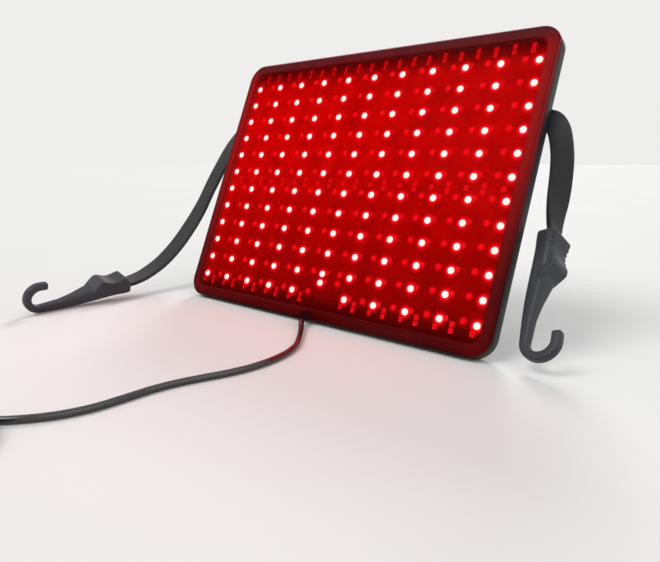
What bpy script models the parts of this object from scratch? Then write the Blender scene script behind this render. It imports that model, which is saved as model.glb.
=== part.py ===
"""Red light therapy panel that leans back on a fold-out wire stand.

The panel lies in its own flat frame first: X runs across it, Y runs up it and Z points out of its
front. An empty then leans that frame back, so that the panel stands on the flat strip along its rear
bottom edge. The world origin is the middle of that strip. Sizes are metres and +Z is up.
"""

from math import acos, atan2, cos, pi, radians, sin, tau

import bmesh
import bpy
from mathutils import Matrix, Vector

# Panel housing
LEAN = radians(23.3)
PANEL_WIDTH = 0.3048
PANEL_HEIGHT = 0.2334
PANEL_DEPTH = 0.0120
CORNER_RADIUS = 0.0160
SEAT_GAP = 0.0003
CUT_OVERRUN = 0.0020
BEZEL_DEPTH = 0.0024
BEZEL_LIP = 0.0008
BEZEL_BORDER = 0.0083
BEZEL_EDGE_ROUND = 0.0010
BEZEL_EDGE_STEPS = 3
RIM_WALL = 0.0066
TRAY_FLOOR = 0.0020
REAR_CHAMFER = 0.0014
STANDING_CUT = 0.0015
BACK_RECESS_BORDER = 0.0120
BACK_RECESS_DEPTH = 0.0006
CORNER_STEPS = 5
SECTION_CORNER_STEPS = 2

# What lies in the tray, front to back
WINDOW_THICKNESS = 0.0010
SPACER_DEPTH = 0.0018
SPACER_BORDER = 0.0018
BOARD_THICKNESS = 0.0014
BOARD_RIB_WIDTH = 0.0040
BOARD_RIB_COUNT = 4
BOARD_RIB_END_SHARE = 0.04

# Light sources on the board
LED_ROWS = 12
LED_COLUMNS = 11
FIRST_COLUMN_INSET = 0.0135
LAST_COLUMN_INSET = 0.0138
TOP_ROW_INSET = 0.0234
BOTTOM_ROW_INSET = 0.02146
COLUMN_PITCH = (PANEL_WIDTH - FIRST_COLUMN_INSET - LAST_COLUMN_INSET) / (LED_COLUMNS - 1)
ROW_PITCH = (PANEL_HEIGHT - TOP_ROW_INSET - BOTTOM_ROW_INSET) / (LED_ROWS - 1)
RED_LED_SIZE = 0.0050
RED_LED_BASE = 0.0008
RED_LED_HEIGHT = 0.0017
RED_LENS_SHARE = 0.60
INFRARED_OFFSET_SHARE = 0.6177
INFRARED_SIZE = 0.0034
INFRARED_HEIGHT = 0.0010
MOVED_COLUMN = 5
MOVED_LIFT_SHARE = 0.5718
CHIP_WIDTH = 0.0016
CHIP_LENGTH = 0.0030
CHIP_HEIGHT = 0.0007
# Each resistor: across from its light in column pitches, up from its row in row pitches
TOP_CHIP_SHARES = ((0.25, 0.38), (0.25, 0.66), (-0.25, 0.44))
MIDDLE_CHIP_SHARES = ((0.34, -0.36), (0.34, -0.64), (-0.14, -0.50))
BOTTOM_CHIP_SHARES = ((0.36, -0.12), (0.36, -0.38), (-0.08, -0.34))
MIDDLE_CHIP_ROW = 5

# Cable entry in the bottom edge
NOTCH_WIDTH = 0.0098
NOTCH_HEIGHT = 0.0061
NOTCH_DEPTH = 0.0086
NOTCH_ARCH_STEPS = 8
GROMMET_PROUD = 0.0010
GROMMET_FLANGE = 0.0011
CHANNEL_WIDTH = 0.0052
LEAD_RADIUS = 0.0006
LEAD_SPREAD = 0.0014
LEAD_PAD_HEIGHT = 0.0180
LEAD_PAD_SPREAD = 0.0032
LEAD_TERMINAL = 0.0022
LEAD_STEPS = 3

# Housing screws
SCREW_INSET = 0.0046
SCREW_SHANK_RADIUS = 0.0010
SCREW_HEAD_RADIUS = 0.0019
SCREW_HEAD_HEIGHT = 0.0012
SCREW_BITE = 0.0013
SCREW_SPACING_DIVISOR = 6
SCREW_FACE_SHARE = 0.75
SCREW_SIDES = 10

# Elastic strap and its two hooks
STRAP_WIDTH = 0.0150
STRAP_THICKNESS = 0.0040
STRAP_CORNER = 0.0012
STRAP_HEIGHT_SHARE = 0.73265
STRAP_HEIGHT_ON_BACK = STRAP_HEIGHT_SHARE * PANEL_HEIGHT
STRAP_LIFT = 0.0012
STRAP_EXIT = 0.0060
RIGHT_TURN_START = 0.0064
STRAP_SPAN_STEPS = 3
HOOK_LENGTH = 0.0925
HOOK_HEIGHT = 0.0270
HOOK_WIDTH = 0.0210
HOOK_BAR = 0.0062
HOOK_BAR_WIDTH = 0.0066
HOOK_TIP_SHARE = 0.060
HOOK_CORNER_SHARE = 0.32
HOOK_ARC_STEPS = 9
HOOK_MOUTH_SHARE = 0.535
HOOK_MOUTH_DEPTH = 0.0130
MOUTH_CLEARANCE = 0.0004
# Shank stations: along in hook lengths, lower and upper edge in hook heights, width in hook widths
SHANK_SHARES = (
    (0.00, 0.257, 0.688, 0.92),
    (0.03, 0.240, 0.705, 1.00),
    (0.16, 0.235, 0.705, 1.00),
    (0.26, 0.197, 0.677, 0.94),
    (0.36, 0.137, 0.601, 0.80),
    (0.45, 0.082, 0.508, 0.65),
    (0.56, 0.027, 0.388, 0.48),
    (0.68, 0.000, 0.290, 0.37),
)
# Thumb tab outline: along in hook lengths, up in hook heights
TAB_RAMP_SHARES = ((0.40, 0.437), (0.385, 0.524), (0.325, 0.765), (0.305, 0.814), (0.27, 0.827))
TAB_HEEL_SHARES = ((0.055, 0.841), (0.035, 0.819), (0.018, 0.721), (0.012, 0.459))
TAB_SADDLE_START_SHARE = 0.250
TAB_SADDLE_END_SHARE = 0.085
TAB_SADDLE_SHARE = 0.803
TAB_SADDLE_DIP = 0.0020
TAB_RIDGES = 4
TAB_RIDGE_HEIGHT = 0.0008
TAB_WIDTH_SHARE = 0.86
TAB_BEVEL = 0.0010
TAB_BEVEL_ANGLE = radians(70)
# Steps to each ridge or rib: the first and the last are at its foot, the others on its crest
RIDGE_STEPS = 4

# Where the hooks lie: the left one on the floor in front, the right one hanging beside the panel
LEFT_HOOK_ASIDE = 0.0426
LEFT_HOOK_FORWARD = 0.0535
LEFT_HOOK_LIFT = 0.0011
LEFT_HOOK_OPEN_SHARES = (0.292, 0.0, 0.956)
RIGHT_HOOK_ASIDE = 0.0126
RIGHT_HOOK_BACK = 0.0562
RIGHT_HOOK_HEIGHT = 0.0770
RIGHT_HOOK_AIM_SHARES = (0.199, -0.654, -0.738)
RIGHT_HOOK_OPEN_SHARES = (0.942, -0.058, 0.330)
# Free runs of the strap: across, forward and down as shares of the way from the panel to the hook,
# then the share of the turn that its width makes aside, and the share of its twist to the mouth
LEFT_RUN_SHARES = (
    (0.25, 0.00, 0.03, 0.0, 0.05),
    (0.52, 0.03, 0.11, 0.0, 0.12),
    (0.75, 0.10, 0.25, 0.0, 0.22),
    (0.93, 0.18, 0.40, 0.0, 0.34),
    (1.08, 0.26, 0.55, 0.0, 0.47),
    (1.17, 0.36, 0.68, 0.0, 0.60),
    (1.18, 0.50, 0.81, 0.0, 0.74),
    (1.12, 0.66, 0.91, 0.0, 0.87),
    (1.04, 0.83, 0.975, 0.0, 0.96),
)
RIGHT_RUN_SHARES = (
    (0.37, 0.05, 0.022, 0.33, 0.00),
    (0.62, 0.18, 0.083, 0.67, 0.00),
    (0.78, 0.33, 0.167, 0.92, 0.00),
    (0.91, 0.44, 0.310, 1.00, 0.08),
    (0.95, 0.51, 0.470, 1.00, 0.28),
    (0.92, 0.54, 0.690, 1.00, 0.62),
    (0.91, 0.62, 0.830, 1.00, 0.86),
)
RUN_STEPS = 2

# Strap guides on the back
GUIDE_SPACING_SHARE = 0.5906
GUIDE_WIDTH = 0.0260
GUIDE_ROOF = 0.0022
GUIDE_FOOT_HEIGHT = 0.0100
GUIDE_FOOT_THICKNESS = 0.0030
GUIDE_SLOT_CLEARANCE = 0.0005
GUIDE_EDGE_ROUND = 0.0015
GUIDE_BEVEL = 0.0005
GUIDE_BEVEL_ANGLE = radians(60)
GUIDE_SCREW_RADIUS = 0.0022
GUIDE_SCREW_HEIGHT = 0.0012

# Wire stand
STAND_HINGE_SHARE = 0.5484
STAND_HINGE_HEIGHT = STAND_HINGE_SHARE * PANEL_HEIGHT
STAND_PIVOT_LIFT = 0.0072
STAND_WIDTH = 0.1240
STAND_WIRE_RADIUS = 0.0020
STAND_LEG_SHARE = 0.922
STAND_LEG_LENGTH = STAND_LEG_SHARE * STAND_HINGE_HEIGHT
STAND_BEND_RADIUS = 0.0140
STAND_PIN_LENGTH = 0.0150
STAND_PIN_BEND = 0.0030
STAND_BEND_STEPS = 5
STAND_PIN_STEPS = 3
BORE_SIDES = 12
SLEEVE_LENGTH = 0.0800
SLEEVE_RADIUS = 0.0036
SLEEVE_RIBS = 7
SLEEVE_RIB_HEIGHT = 0.0004
CLIP_KNUCKLE_RADIUS = 0.0062
CLIP_KNUCKLE_SIDES = 20
CLIP_CORNER_STEPS = 3
CLIP_BORE_CLEARANCE = 0.0003
CLIP_WIDTH = 0.0110
CLIP_CHEEK = 0.0046
CLIP_BASE_HEIGHT = 0.0260
CLIP_BASE_THICKNESS = 0.0028
CLIP_SCREW_RADIUS = 0.0020
CLIP_SCREW_HEIGHT = 0.0011
CLIP_SCREW_OFFSET = 0.0098
SWING_CLEARANCE = 0.0004
SWING_REACH = 0.0248
SWING_CORNER_SHARE = 0.4

# Power cord, its coil and its connector
CORD_DIAMETER = 0.0042
CORD_GAP = 0.0003
# Cord route on the floor, from the grommet to where the coil takes over
CORD_ROUTE = (
    (0.0000, -0.0097, 0.0064),
    (0.0004, -0.0132, 0.0072),
    (0.0024, -0.0180, 0.0066),
    (0.0066, -0.0235, 0.0046),
    (0.0130, -0.0305, 0.0027),
    (0.0255, -0.0460, 0.0021),
    (0.0355, -0.0600, 0.0021),
    (0.0415, -0.0750, 0.0021),
    (0.0440, -0.0910, 0.0021),
    (0.0435, -0.1075, 0.0021),
    (0.0400, -0.1235, 0.0021),
    (0.0345, -0.1385, 0.0021),
    (0.0295, -0.1535, 0.0021),
    (0.0267, -0.1690, 0.0021),
    (0.0260, -0.1850, 0.0021),
    (0.0247, -0.2005, 0.0021),
    (0.0200, -0.2155, 0.0021),
    (0.0115, -0.2290, 0.0021),
    (0.0010, -0.2400, 0.0021),
    (-0.0120, -0.2480, 0.0021),
)
CORD_STEPS = 3
COIL_TURNS = 4
COIL_LAYERS = 2
COIL_INNER_RADIUS = 0.0150
COIL_PITCH = 0.0047
COIL_LAYER_PITCH = 0.0047
COIL_TURN_STEPS = 24
COIL_GAP_SKIP = 8

PLUG_BODY_RADIUS = 0.0048
PLUG_BODY_LENGTH = 0.0230
PLUG_RELIEF_LENGTH = 0.0120
PLUG_RELIEF_RADIUS = 0.0032
PLUG_RELIEF_START_SHARE = 0.80
PLUG_RELIEF_MIDDLE_SHARE = 0.90
PLUG_SHOULDER = 0.0004
PLUG_SHOULDER_SHARE = 0.92
PLUG_EDGE = 0.0012
PLUG_FRONT_SHARE = 0.90
PLUG_SLEEVE_RADIUS = 0.00275
PLUG_SLEEVE_LENGTH = 0.0095
PLUG_SLEEVE_WALL = 0.0004
PLUG_CORE_RADIUS = 0.0019
PLUG_CORE_BORE = 0.0011
ROUND_STEPS = 16

# Places worked out from the sizes above
TRAY_FRONT = -BEZEL_DEPTH - SEAT_GAP
POCKET_INSET = RIM_WALL + SEAT_GAP
WINDOW_FRONT = -BEZEL_LIP - SEAT_GAP
WINDOW_BACK = WINDOW_FRONT - WINDOW_THICKNESS
SPACER_FRONT = WINDOW_BACK - SEAT_GAP
SPACER_BACK = SPACER_FRONT - SPACER_DEPTH
BOARD_FRONT = SPACER_BACK - SEAT_GAP
BOARD_BACK = BOARD_FRONT - BOARD_THICKNESS
TRAY_BACK = -PANEL_DEPTH
FLOOR_TOP = TRAY_BACK + TRAY_FLOOR
STRAP_BACK_Z = TRAY_BACK - STRAP_LIFT - STRAP_THICKNESS / 2
PIVOT_Z = TRAY_BACK - STAND_PIVOT_LIFT

# The standing strip: the lean and the cut say where the floor meets the tray
STRIP_FRONT_Z = PANEL_DEPTH - STANDING_CUT / sin(LEAN)
STRIP_BACK_Y = STANDING_CUT / cos(LEAN)
PANEL_ORIGIN = Vector((
    0,
    -(STRIP_FRONT_Z * cos(LEAN) + STRIP_BACK_Y * sin(LEAN) + PANEL_DEPTH * cos(LEAN)) / 2,
    PANEL_DEPTH * sin(LEAN) - STANDING_CUT,
))
PANEL_MATRIX = Matrix.Translation(PANEL_ORIGIN) @ Matrix.Rotation(pi / 2 - LEAN, 4, "X")


def clear_scene():
    for item in list(bpy.data.objects):
        bpy.data.objects.remove(item, do_unlink=True)


def material(name, colour, roughness, metallic=0.0, alpha=1.0, glow=0.0):
    made = bpy.data.materials.new(name)
    made.use_nodes = True
    shader = made.node_tree.nodes["Principled BSDF"]
    shader.inputs["Base Color"].default_value = (*colour, 1.0)
    shader.inputs["Roughness"].default_value = roughness
    shader.inputs["Metallic"].default_value = metallic
    shader.inputs["Alpha"].default_value = alpha
    if glow:
        shader.inputs["Emission Color"].default_value = (*colour, 1.0)
        shader.inputs["Emission Strength"].default_value = glow
    made.diffuse_color = (*colour, alpha)
    return made


def add_object(name, bm, finish, frame=None):
    mesh = bpy.data.meshes.new(name)
    bm.normal_update()
    bm.to_mesh(mesh)
    bm.free()
    item = bpy.data.objects.new(name, mesh)
    bpy.context.collection.objects.link(item)
    if finish:
        mesh.materials.append(finish)
    if frame is not None:
        item.parent = frame
    return item


def smooth(item, angle=radians(35)):
    item.data.shade_smooth()
    item.data.set_sharp_from_angle(angle=angle)
    return item


def add_cutter(name, bm, frame=None, finish=None):
    """A solid that only cuts or joins another; the model itself leaves it out."""
    item = add_object(name, bm, finish, frame)
    item.hide_render = True
    item.display_type = "WIRE"
    return item


def boolean(item, other, operation="DIFFERENCE"):
    step = item.modifiers.new(other.name, "BOOLEAN")
    step.operation = operation
    step.solver = "EXACT"
    step.material_mode = "TRANSFER"
    step.object = other


def add_copies(name, bm, places, finish, frame):
    """One object for each place, all sharing one mesh."""
    first = add_object(name + "_1", bm, finish, frame)
    first.location = places[0]
    for i, place in enumerate(places[1:], 2):
        copy = bpy.data.objects.new("%s_%d" % (name, i), first.data)
        bpy.context.collection.objects.link(copy)
        copy.parent = frame
        copy.location = place


def loft(rings, bm=None):
    """Joins rings of equal point counts into one closed solid with flat ends."""
    bm = bm or bmesh.new()
    loops = [[bm.verts.new(point) for point in ring] for ring in rings]
    faces = []
    for near, far in zip(loops, loops[1:]):
        count = len(near)
        for i in range(count):
            j = (i + 1) % count
            faces.append(bm.faces.new((near[i], near[j], far[j], far[i])))
    faces.append(bm.faces.new(list(reversed(loops[0]))))
    faces.append(bm.faces.new(loops[-1]))
    bmesh.ops.recalc_face_normals(bm, faces=faces)
    return bm


def rounded_rectangle(width, height, radius, steps=CORNER_STEPS):
    points = []
    for quarter in range(4):
        side_x = 1 if quarter in (0, 3) else -1
        side_y = 1 if quarter in (0, 1) else -1
        centre_x = side_x * (width / 2 - radius)
        centre_y = side_y * (height / 2 - radius)
        for step in range(steps + 1):
            turn = (quarter + step / steps) * pi / 2
            points.append((centre_x + radius * cos(turn), centre_y + radius * sin(turn)))
    return points


def panel_outline(inset, radius=None):
    """The panel's outline drawn in by an inset, standing on Y = 0 as the panel does."""
    corner = CORNER_RADIUS - inset if radius is None else radius
    shape = rounded_rectangle(PANEL_WIDTH - 2 * inset, PANEL_HEIGHT - 2 * inset, corner)
    return [(x, y + PANEL_HEIGHT / 2) for x, y in shape]


def at_height(outline, z):
    return [(x, y, z) for x, y in outline]


def box(bm, low, high):
    corners = [(low[0], low[1]), (high[0], low[1]), (high[0], high[1]), (low[0], high[1])]
    return loft([at_height(corners, low[2]), at_height(corners, high[2])], bm)


def disc(radius, steps=ROUND_STEPS, centre=(0, 0)):
    return [(centre[0] + radius * cos(tau * i / steps), centre[1] + radius * sin(tau * i / steps))
            for i in range(steps)]


def turned(stations, steps=ROUND_STEPS, bm=None):
    """A solid turned about Z from pairs of height and radius."""
    return loft([at_height(disc(radius, steps), z) for z, radius in stations], bm)


def frame_at(origin, x_axis, z_axis):
    x_axis = x_axis.normalized()
    z_axis = (z_axis - z_axis.dot(x_axis) * x_axis).normalized()
    y_axis = z_axis.cross(x_axis)
    return Matrix.Translation(origin) @ Matrix((x_axis, y_axis, z_axis)).transposed().to_4x4()


def catmull_rom(points, steps):
    """A smooth run through the given points, with the given steps between each two."""
    run = []
    last = len(points) - 1
    for i in range(last):
        before, start, end, after = points[max(i - 1, 0)], points[i], points[i + 1], points[min(i + 2, last)]
        for step in range(steps):
            t = step / steps
            run.append(0.5 * (
                2 * start + (end - before) * t
                + (2 * before - 5 * start + 4 * end - after) * t * t
                + (3 * start - before - 3 * end + after) * t * t * t
            ))
    run.append(points[-1].copy())
    return run


def tube(name, points, radius, finish, resolution=2, frame=None):
    curve = bpy.data.curves.new(name, "CURVE")
    curve.dimensions = "3D"
    curve.bevel_depth = radius
    curve.bevel_resolution = resolution
    curve.use_fill_caps = True
    spline = curve.splines.new("POLY")
    spline.points.add(len(points) - 1)
    for slot, point in zip(spline.points, points):
        slot.co = (*point, 1.0)
        slot.radius = 1.0
    spline.use_smooth = True
    curve.materials.append(finish)
    item = bpy.data.objects.new(name, curve)
    bpy.context.collection.objects.link(item)
    if frame is not None:
        item.parent = frame
    return item


def column_x(column):
    return -PANEL_WIDTH / 2 + FIRST_COLUMN_INSET + column * COLUMN_PITCH


def row_y(row):
    return PANEL_HEIGHT - TOP_ROW_INSET - row * ROW_PITCH


def light_place(column, row):
    """Centre of a red light; one in the bottom row is lifted clear of the cable entry."""
    lift = MOVED_LIFT_SHARE * ROW_PITCH if (column, row) == (MOVED_COLUMN, LED_ROWS - 1) else 0
    return column_x(column), row_y(row) + lift


def notch_outline(clearance):
    """The arched cable notch, seen from the front, made smaller all round by a clearance."""
    half = NOTCH_WIDTH / 2 - clearance
    top = NOTCH_HEIGHT - clearance
    spring = top - half
    turns = [pi * i / NOTCH_ARCH_STEPS for i in range(NOTCH_ARCH_STEPS + 1)]
    arch = [(half * cos(turn), spring + half * sin(turn)) for turn in turns]
    return arch, half


def make_notch_cutter(frame):
    arch, half = notch_outline(0)
    outline = [(half, -CUT_OVERRUN)] + arch + [(-half, -CUT_OVERRUN)]
    bm = loft([at_height(outline, -NOTCH_DEPTH), at_height(outline, CUT_OVERRUN)])
    return add_cutter("notch_cutter", bm, frame)


def make_channel_cutter(frame):
    bm = bmesh.new()
    low = (-CHANNEL_WIDTH / 2, NOTCH_HEIGHT - CUT_OVERRUN, BOARD_FRONT)
    high = (CHANNEL_WIDTH / 2, POCKET_INSET + SPACER_BORDER + CUT_OVERRUN, CUT_OVERRUN)
    box(bm, low, high)
    return add_cutter("lead_channel_cutter", bm, frame)


def screw_places():
    """Four corners and, halfway between them, the sides and the quarter points above and below."""
    side, middle = PANEL_WIDTH / 2 - SCREW_INSET, PANEL_HEIGHT / 2
    corner = (CORNER_RADIUS - SCREW_INSET) * (1 - cos(pi / 4))
    reach = middle - SCREW_INSET
    places = []
    for across in (-1, 1):
        places.append((across * side, middle, 0))
        for up in (-1, 1):
            places.append((across * (side - corner), middle + up * (reach - corner), 0))
            places.append((across * PANEL_WIDTH / SCREW_SPACING_DIVISOR, middle + up * reach, 0))
    return places


def make_screw_cutter(frame):
    clear = SEAT_GAP
    bm = bmesh.new()
    for x, y, _ in screw_places():
        rings = (
            (TRAY_BACK - CUT_OVERRUN, SCREW_HEAD_RADIUS + clear),
            (TRAY_BACK + BACK_RECESS_DEPTH + SCREW_HEAD_HEIGHT + clear, SCREW_HEAD_RADIUS + clear),
            (TRAY_BACK + BACK_RECESS_DEPTH + SCREW_HEAD_HEIGHT + clear, SCREW_SHANK_RADIUS + clear),
            (TRAY_FRONT + SEAT_GAP + SCREW_BITE + clear, SCREW_SHANK_RADIUS + clear),
        )
        loft([at_height(disc(radius, SCREW_SIDES, (x, y)), z) for z, radius in rings], bm)
    return add_cutter("screw_cutter", bm, frame)


def make_rear_tray(frame, finish, notch, channel, screws):
    chamfer = REAR_CHAMFER
    rings = [
        at_height(panel_outline(chamfer), TRAY_BACK),
        at_height(panel_outline(0), TRAY_BACK + chamfer),
        at_height(panel_outline(0), TRAY_FRONT),
    ]
    tray = add_object("rear_tray", loft(rings), finish, frame)
    pocket = loft([at_height(panel_outline(RIM_WALL), z) for z in (FLOOR_TOP, CUT_OVERRUN)])
    boolean(tray, add_cutter("pocket_cutter", pocket, frame))
    recess = loft([
        at_height(panel_outline(BACK_RECESS_BORDER - BACK_RECESS_DEPTH, REAR_CHAMFER), TRAY_BACK - CUT_OVERRUN),
        at_height(panel_outline(BACK_RECESS_BORDER, REAR_CHAMFER), TRAY_BACK + BACK_RECESS_DEPTH),
    ])
    boolean(tray, add_cutter("back_recess_cutter", recess, frame))
    ribs = bmesh.new()
    inside = PANEL_HEIGHT - 2 * RIM_WALL
    for i in range(BOARD_RIB_COUNT):
        share = BOARD_RIB_END_SHARE + (1 - 2 * BOARD_RIB_END_SHARE) * i / (BOARD_RIB_COUNT - 1)
        y = RIM_WALL + share * inside
        reach = PANEL_WIDTH / 2 - RIM_WALL - CORNER_RADIUS
        low = (-reach, y - BOARD_RIB_WIDTH / 2, TRAY_BACK + TRAY_FLOOR / 2)
        box(ribs, low, (reach, y + BOARD_RIB_WIDTH / 2, BOARD_BACK - SEAT_GAP))
    rib_solid = add_cutter("board_ribs", ribs, frame)
    boolean(tray, rib_solid, "UNION")
    for cutter in (notch, channel, screws):
        boolean(tray, cutter)
    floor = bmesh.new()
    box(floor, (-PANEL_WIDTH, -PANEL_HEIGHT, -PANEL_DEPTH), (PANEL_WIDTH, PANEL_HEIGHT, 0))
    boolean(tray, add_cutter("standing_cutter", floor))
    return tray


def make_front_bezel(frame, finish, notch, screws):
    edge = BEZEL_EDGE_ROUND
    rings = [at_height(panel_outline(0), -BEZEL_DEPTH)]
    for i in range(BEZEL_EDGE_STEPS + 1):
        turn = i / BEZEL_EDGE_STEPS * pi / 2
        inset = edge * (1 - cos(turn))
        rings.append(at_height(panel_outline(inset), -edge + edge * sin(turn)))
    bezel = add_object("front_bezel", loft(rings), finish, frame)
    opening = loft([
        at_height(panel_outline(BEZEL_BORDER + BEZEL_LIP), -BEZEL_DEPTH - CUT_OVERRUN),
        at_height(panel_outline(BEZEL_BORDER + BEZEL_LIP), -BEZEL_LIP),
        at_height(panel_outline(BEZEL_BORDER), 0),
        at_height(panel_outline(BEZEL_BORDER), CUT_OVERRUN),
    ])
    boolean(bezel, add_cutter("bezel_opening_cutter", opening, frame))
    rebate = loft([at_height(panel_outline(RIM_WALL), z) for z in (-BEZEL_DEPTH - CUT_OVERRUN, -BEZEL_LIP)])
    boolean(bezel, add_cutter("bezel_rebate_cutter", rebate, frame))
    boolean(bezel, notch)
    boolean(bezel, screws)
    return smooth(bezel)


def make_front_window(frame, finish):
    outline = panel_outline(POCKET_INSET)
    rings = [at_height(outline, z) for z in (WINDOW_BACK, WINDOW_FRONT)]
    return add_object("front_window", loft(rings), finish, frame)


def make_spacer_gasket(frame, finish, channel):
    outline = panel_outline(POCKET_INSET)
    spacer = add_object("spacer_gasket", loft([at_height(outline, z) for z in (SPACER_BACK, SPACER_FRONT)]),
                        finish, frame)
    inner = panel_outline(POCKET_INSET + SPACER_BORDER)
    rings = [at_height(inner, z) for z in (SPACER_BACK - CUT_OVERRUN, SPACER_FRONT + CUT_OVERRUN)]
    boolean(spacer, add_cutter("spacer_opening_cutter", loft(rings), frame))
    boolean(spacer, channel)
    return spacer


def red_led_solids(frame, finish):
    """A square package with a raised lens in each place of the grid."""
    bm = bmesh.new()
    package = [(-RED_LED_SIZE / 2, -RED_LED_SIZE / 2), (RED_LED_SIZE / 2, -RED_LED_SIZE / 2),
               (RED_LED_SIZE / 2, RED_LED_SIZE / 2), (-RED_LED_SIZE / 2, RED_LED_SIZE / 2)]
    lens = [(x * RED_LENS_SHARE, y * RED_LENS_SHARE) for x, y in package]
    levels = ((package, -BOARD_THICKNESS / 2), (package, RED_LED_BASE), (lens, RED_LED_HEIGHT))
    for column in range(LED_COLUMNS):
        for row in range(LED_ROWS):
            x, y = light_place(column, row)
            loft([[(x + px, y + py, BOARD_FRONT + z) for px, py in outline] for outline, z in levels], bm)
    return add_cutter("red_leds", bm, frame, finish)


def infrared_led_solids(frame, finish):
    """A smaller flat package to the right of each red light, but for the last column."""
    bm = bmesh.new()
    half = INFRARED_SIZE / 2
    sunk = BOARD_FRONT - BOARD_THICKNESS / 2
    for column in range(LED_COLUMNS - 1):
        for row in range(LED_ROWS):
            x, y = light_place(column, row)
            x += INFRARED_OFFSET_SHARE * COLUMN_PITCH
            box(bm, (x - half, y - half, sunk), (x + half, y + half, BOARD_FRONT + INFRARED_HEIGHT))
    return add_cutter("infrared_leds", bm, frame, finish)


def resistor_solids(frame, finish):
    bm = bmesh.new()
    groups = ((0, TOP_CHIP_SHARES), (MIDDLE_CHIP_ROW, MIDDLE_CHIP_SHARES), (LED_ROWS - 1, BOTTOM_CHIP_SHARES))
    for row, shares in groups:
        for column in range(LED_COLUMNS):
            if row == LED_ROWS - 1 and column == MOVED_COLUMN:
                continue
            for across, up in shares:
                x = column_x(column) + across * COLUMN_PITCH
                y = row_y(row) + up * ROW_PITCH
                if abs(x) > PANEL_WIDTH / 2 - POCKET_INSET - SPACER_BORDER - CHIP_WIDTH:
                    continue
                low = (x - CHIP_WIDTH / 2, y - CHIP_LENGTH / 2, BOARD_FRONT - BOARD_THICKNESS / 2)
                box(bm, low, (x + CHIP_WIDTH / 2, y + CHIP_LENGTH / 2, BOARD_FRONT + CHIP_HEIGHT))
    return add_cutter("resistors", bm, frame, finish)


def make_led_board(frame, finish, red_finish, infrared_finish, chip_finish):
    """The circuit board with its lights and resistors soldered on, so they are one solid."""
    outline = panel_outline(POCKET_INSET)
    board = add_object("led_board", loft([at_height(outline, z) for z in (BOARD_BACK, BOARD_FRONT)]),
                       finish, frame)
    boolean(board, red_led_solids(frame, red_finish), "UNION")
    boolean(board, infrared_led_solids(frame, infrared_finish), "UNION")
    boolean(board, resistor_solids(frame, chip_finish), "UNION")
    return board


def make_housing_screws(frame, finish):
    head_back = TRAY_BACK + BACK_RECESS_DEPTH
    head_front = head_back + SCREW_HEAD_HEIGHT
    screw = turned((
        (head_back, SCREW_HEAD_RADIUS * SCREW_FACE_SHARE),
        (head_front, SCREW_HEAD_RADIUS),
        (head_front, SCREW_SHANK_RADIUS),
        (TRAY_FRONT + SEAT_GAP + SCREW_BITE, SCREW_SHANK_RADIUS),
    ), SCREW_SIDES)
    add_copies("housing_screw", screw, screw_places(), finish, frame)


def cap_screw(radius, height, foot):
    """A low domed screw head that sits on a foot's back face; its shank is hidden in the foot."""
    top = foot - SEAT_GAP
    return turned((
        (top - height, radius * SCREW_FACE_SHARE),
        (top - height / 2, radius),
        (top, radius),
    ), SCREW_SIDES)


def make_cable_grommet(frame, finish):
    arch, half = notch_outline(SEAT_GAP)
    body = [(half, SEAT_GAP)] + arch + [(-half, SEAT_GAP)]
    flange = [(x * (1 + GROMMET_FLANGE / half), y * (1 + GROMMET_FLANGE / NOTCH_HEIGHT)) for x, y in body]
    grommet = add_object("cable_grommet", loft([
        at_height(body, -NOTCH_DEPTH + SEAT_GAP),
        at_height(body, SEAT_GAP),
        at_height(flange, SEAT_GAP),
        at_height(body, GROMMET_PROUD),
    ]), finish, frame)
    floor = bmesh.new()
    reach = PANEL_DEPTH + NOTCH_DEPTH
    box(floor, (-reach, -reach, -reach), (reach, reach, STANDING_CUT / 2))
    boolean(grommet, add_cutter("grommet_floor_cutter", floor))
    return grommet


def make_leads(frame, positive, negative):
    level = BOARD_FRONT + SEAT_GAP + LEAD_RADIUS
    for name, side, finish in (("lead_positive", 1, positive), ("lead_negative", -1, negative)):
        run = [
            Vector((side * LEAD_SPREAD, NOTCH_HEIGHT + SEAT_GAP, level)),
            Vector((side * LEAD_SPREAD, POCKET_INSET + SPACER_BORDER, level)),
            Vector((side * (LEAD_SPREAD + LEAD_PAD_SPREAD) / 2, (POCKET_INSET + LEAD_PAD_HEIGHT) / 2, level)),
            Vector((side * LEAD_PAD_SPREAD, LEAD_PAD_HEIGHT - LEAD_TERMINAL, level)),
            Vector((side * LEAD_PAD_SPREAD, LEAD_PAD_HEIGHT, level)),
        ]
        tube(name, catmull_rom(run, LEAD_STEPS), LEAD_RADIUS, finish, 1, frame)


def section(centre, along, across, half_height, half_width, corner):
    """A rounded oblong ring about a centre; across is the direction of its width."""
    across = across.normalized()
    up = across.cross(along).normalized()
    points = rounded_rectangle(2 * half_width, 2 * half_height, corner, SECTION_CORNER_STEPS)
    return [centre + x * across + y * up for x, y in points]


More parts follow.
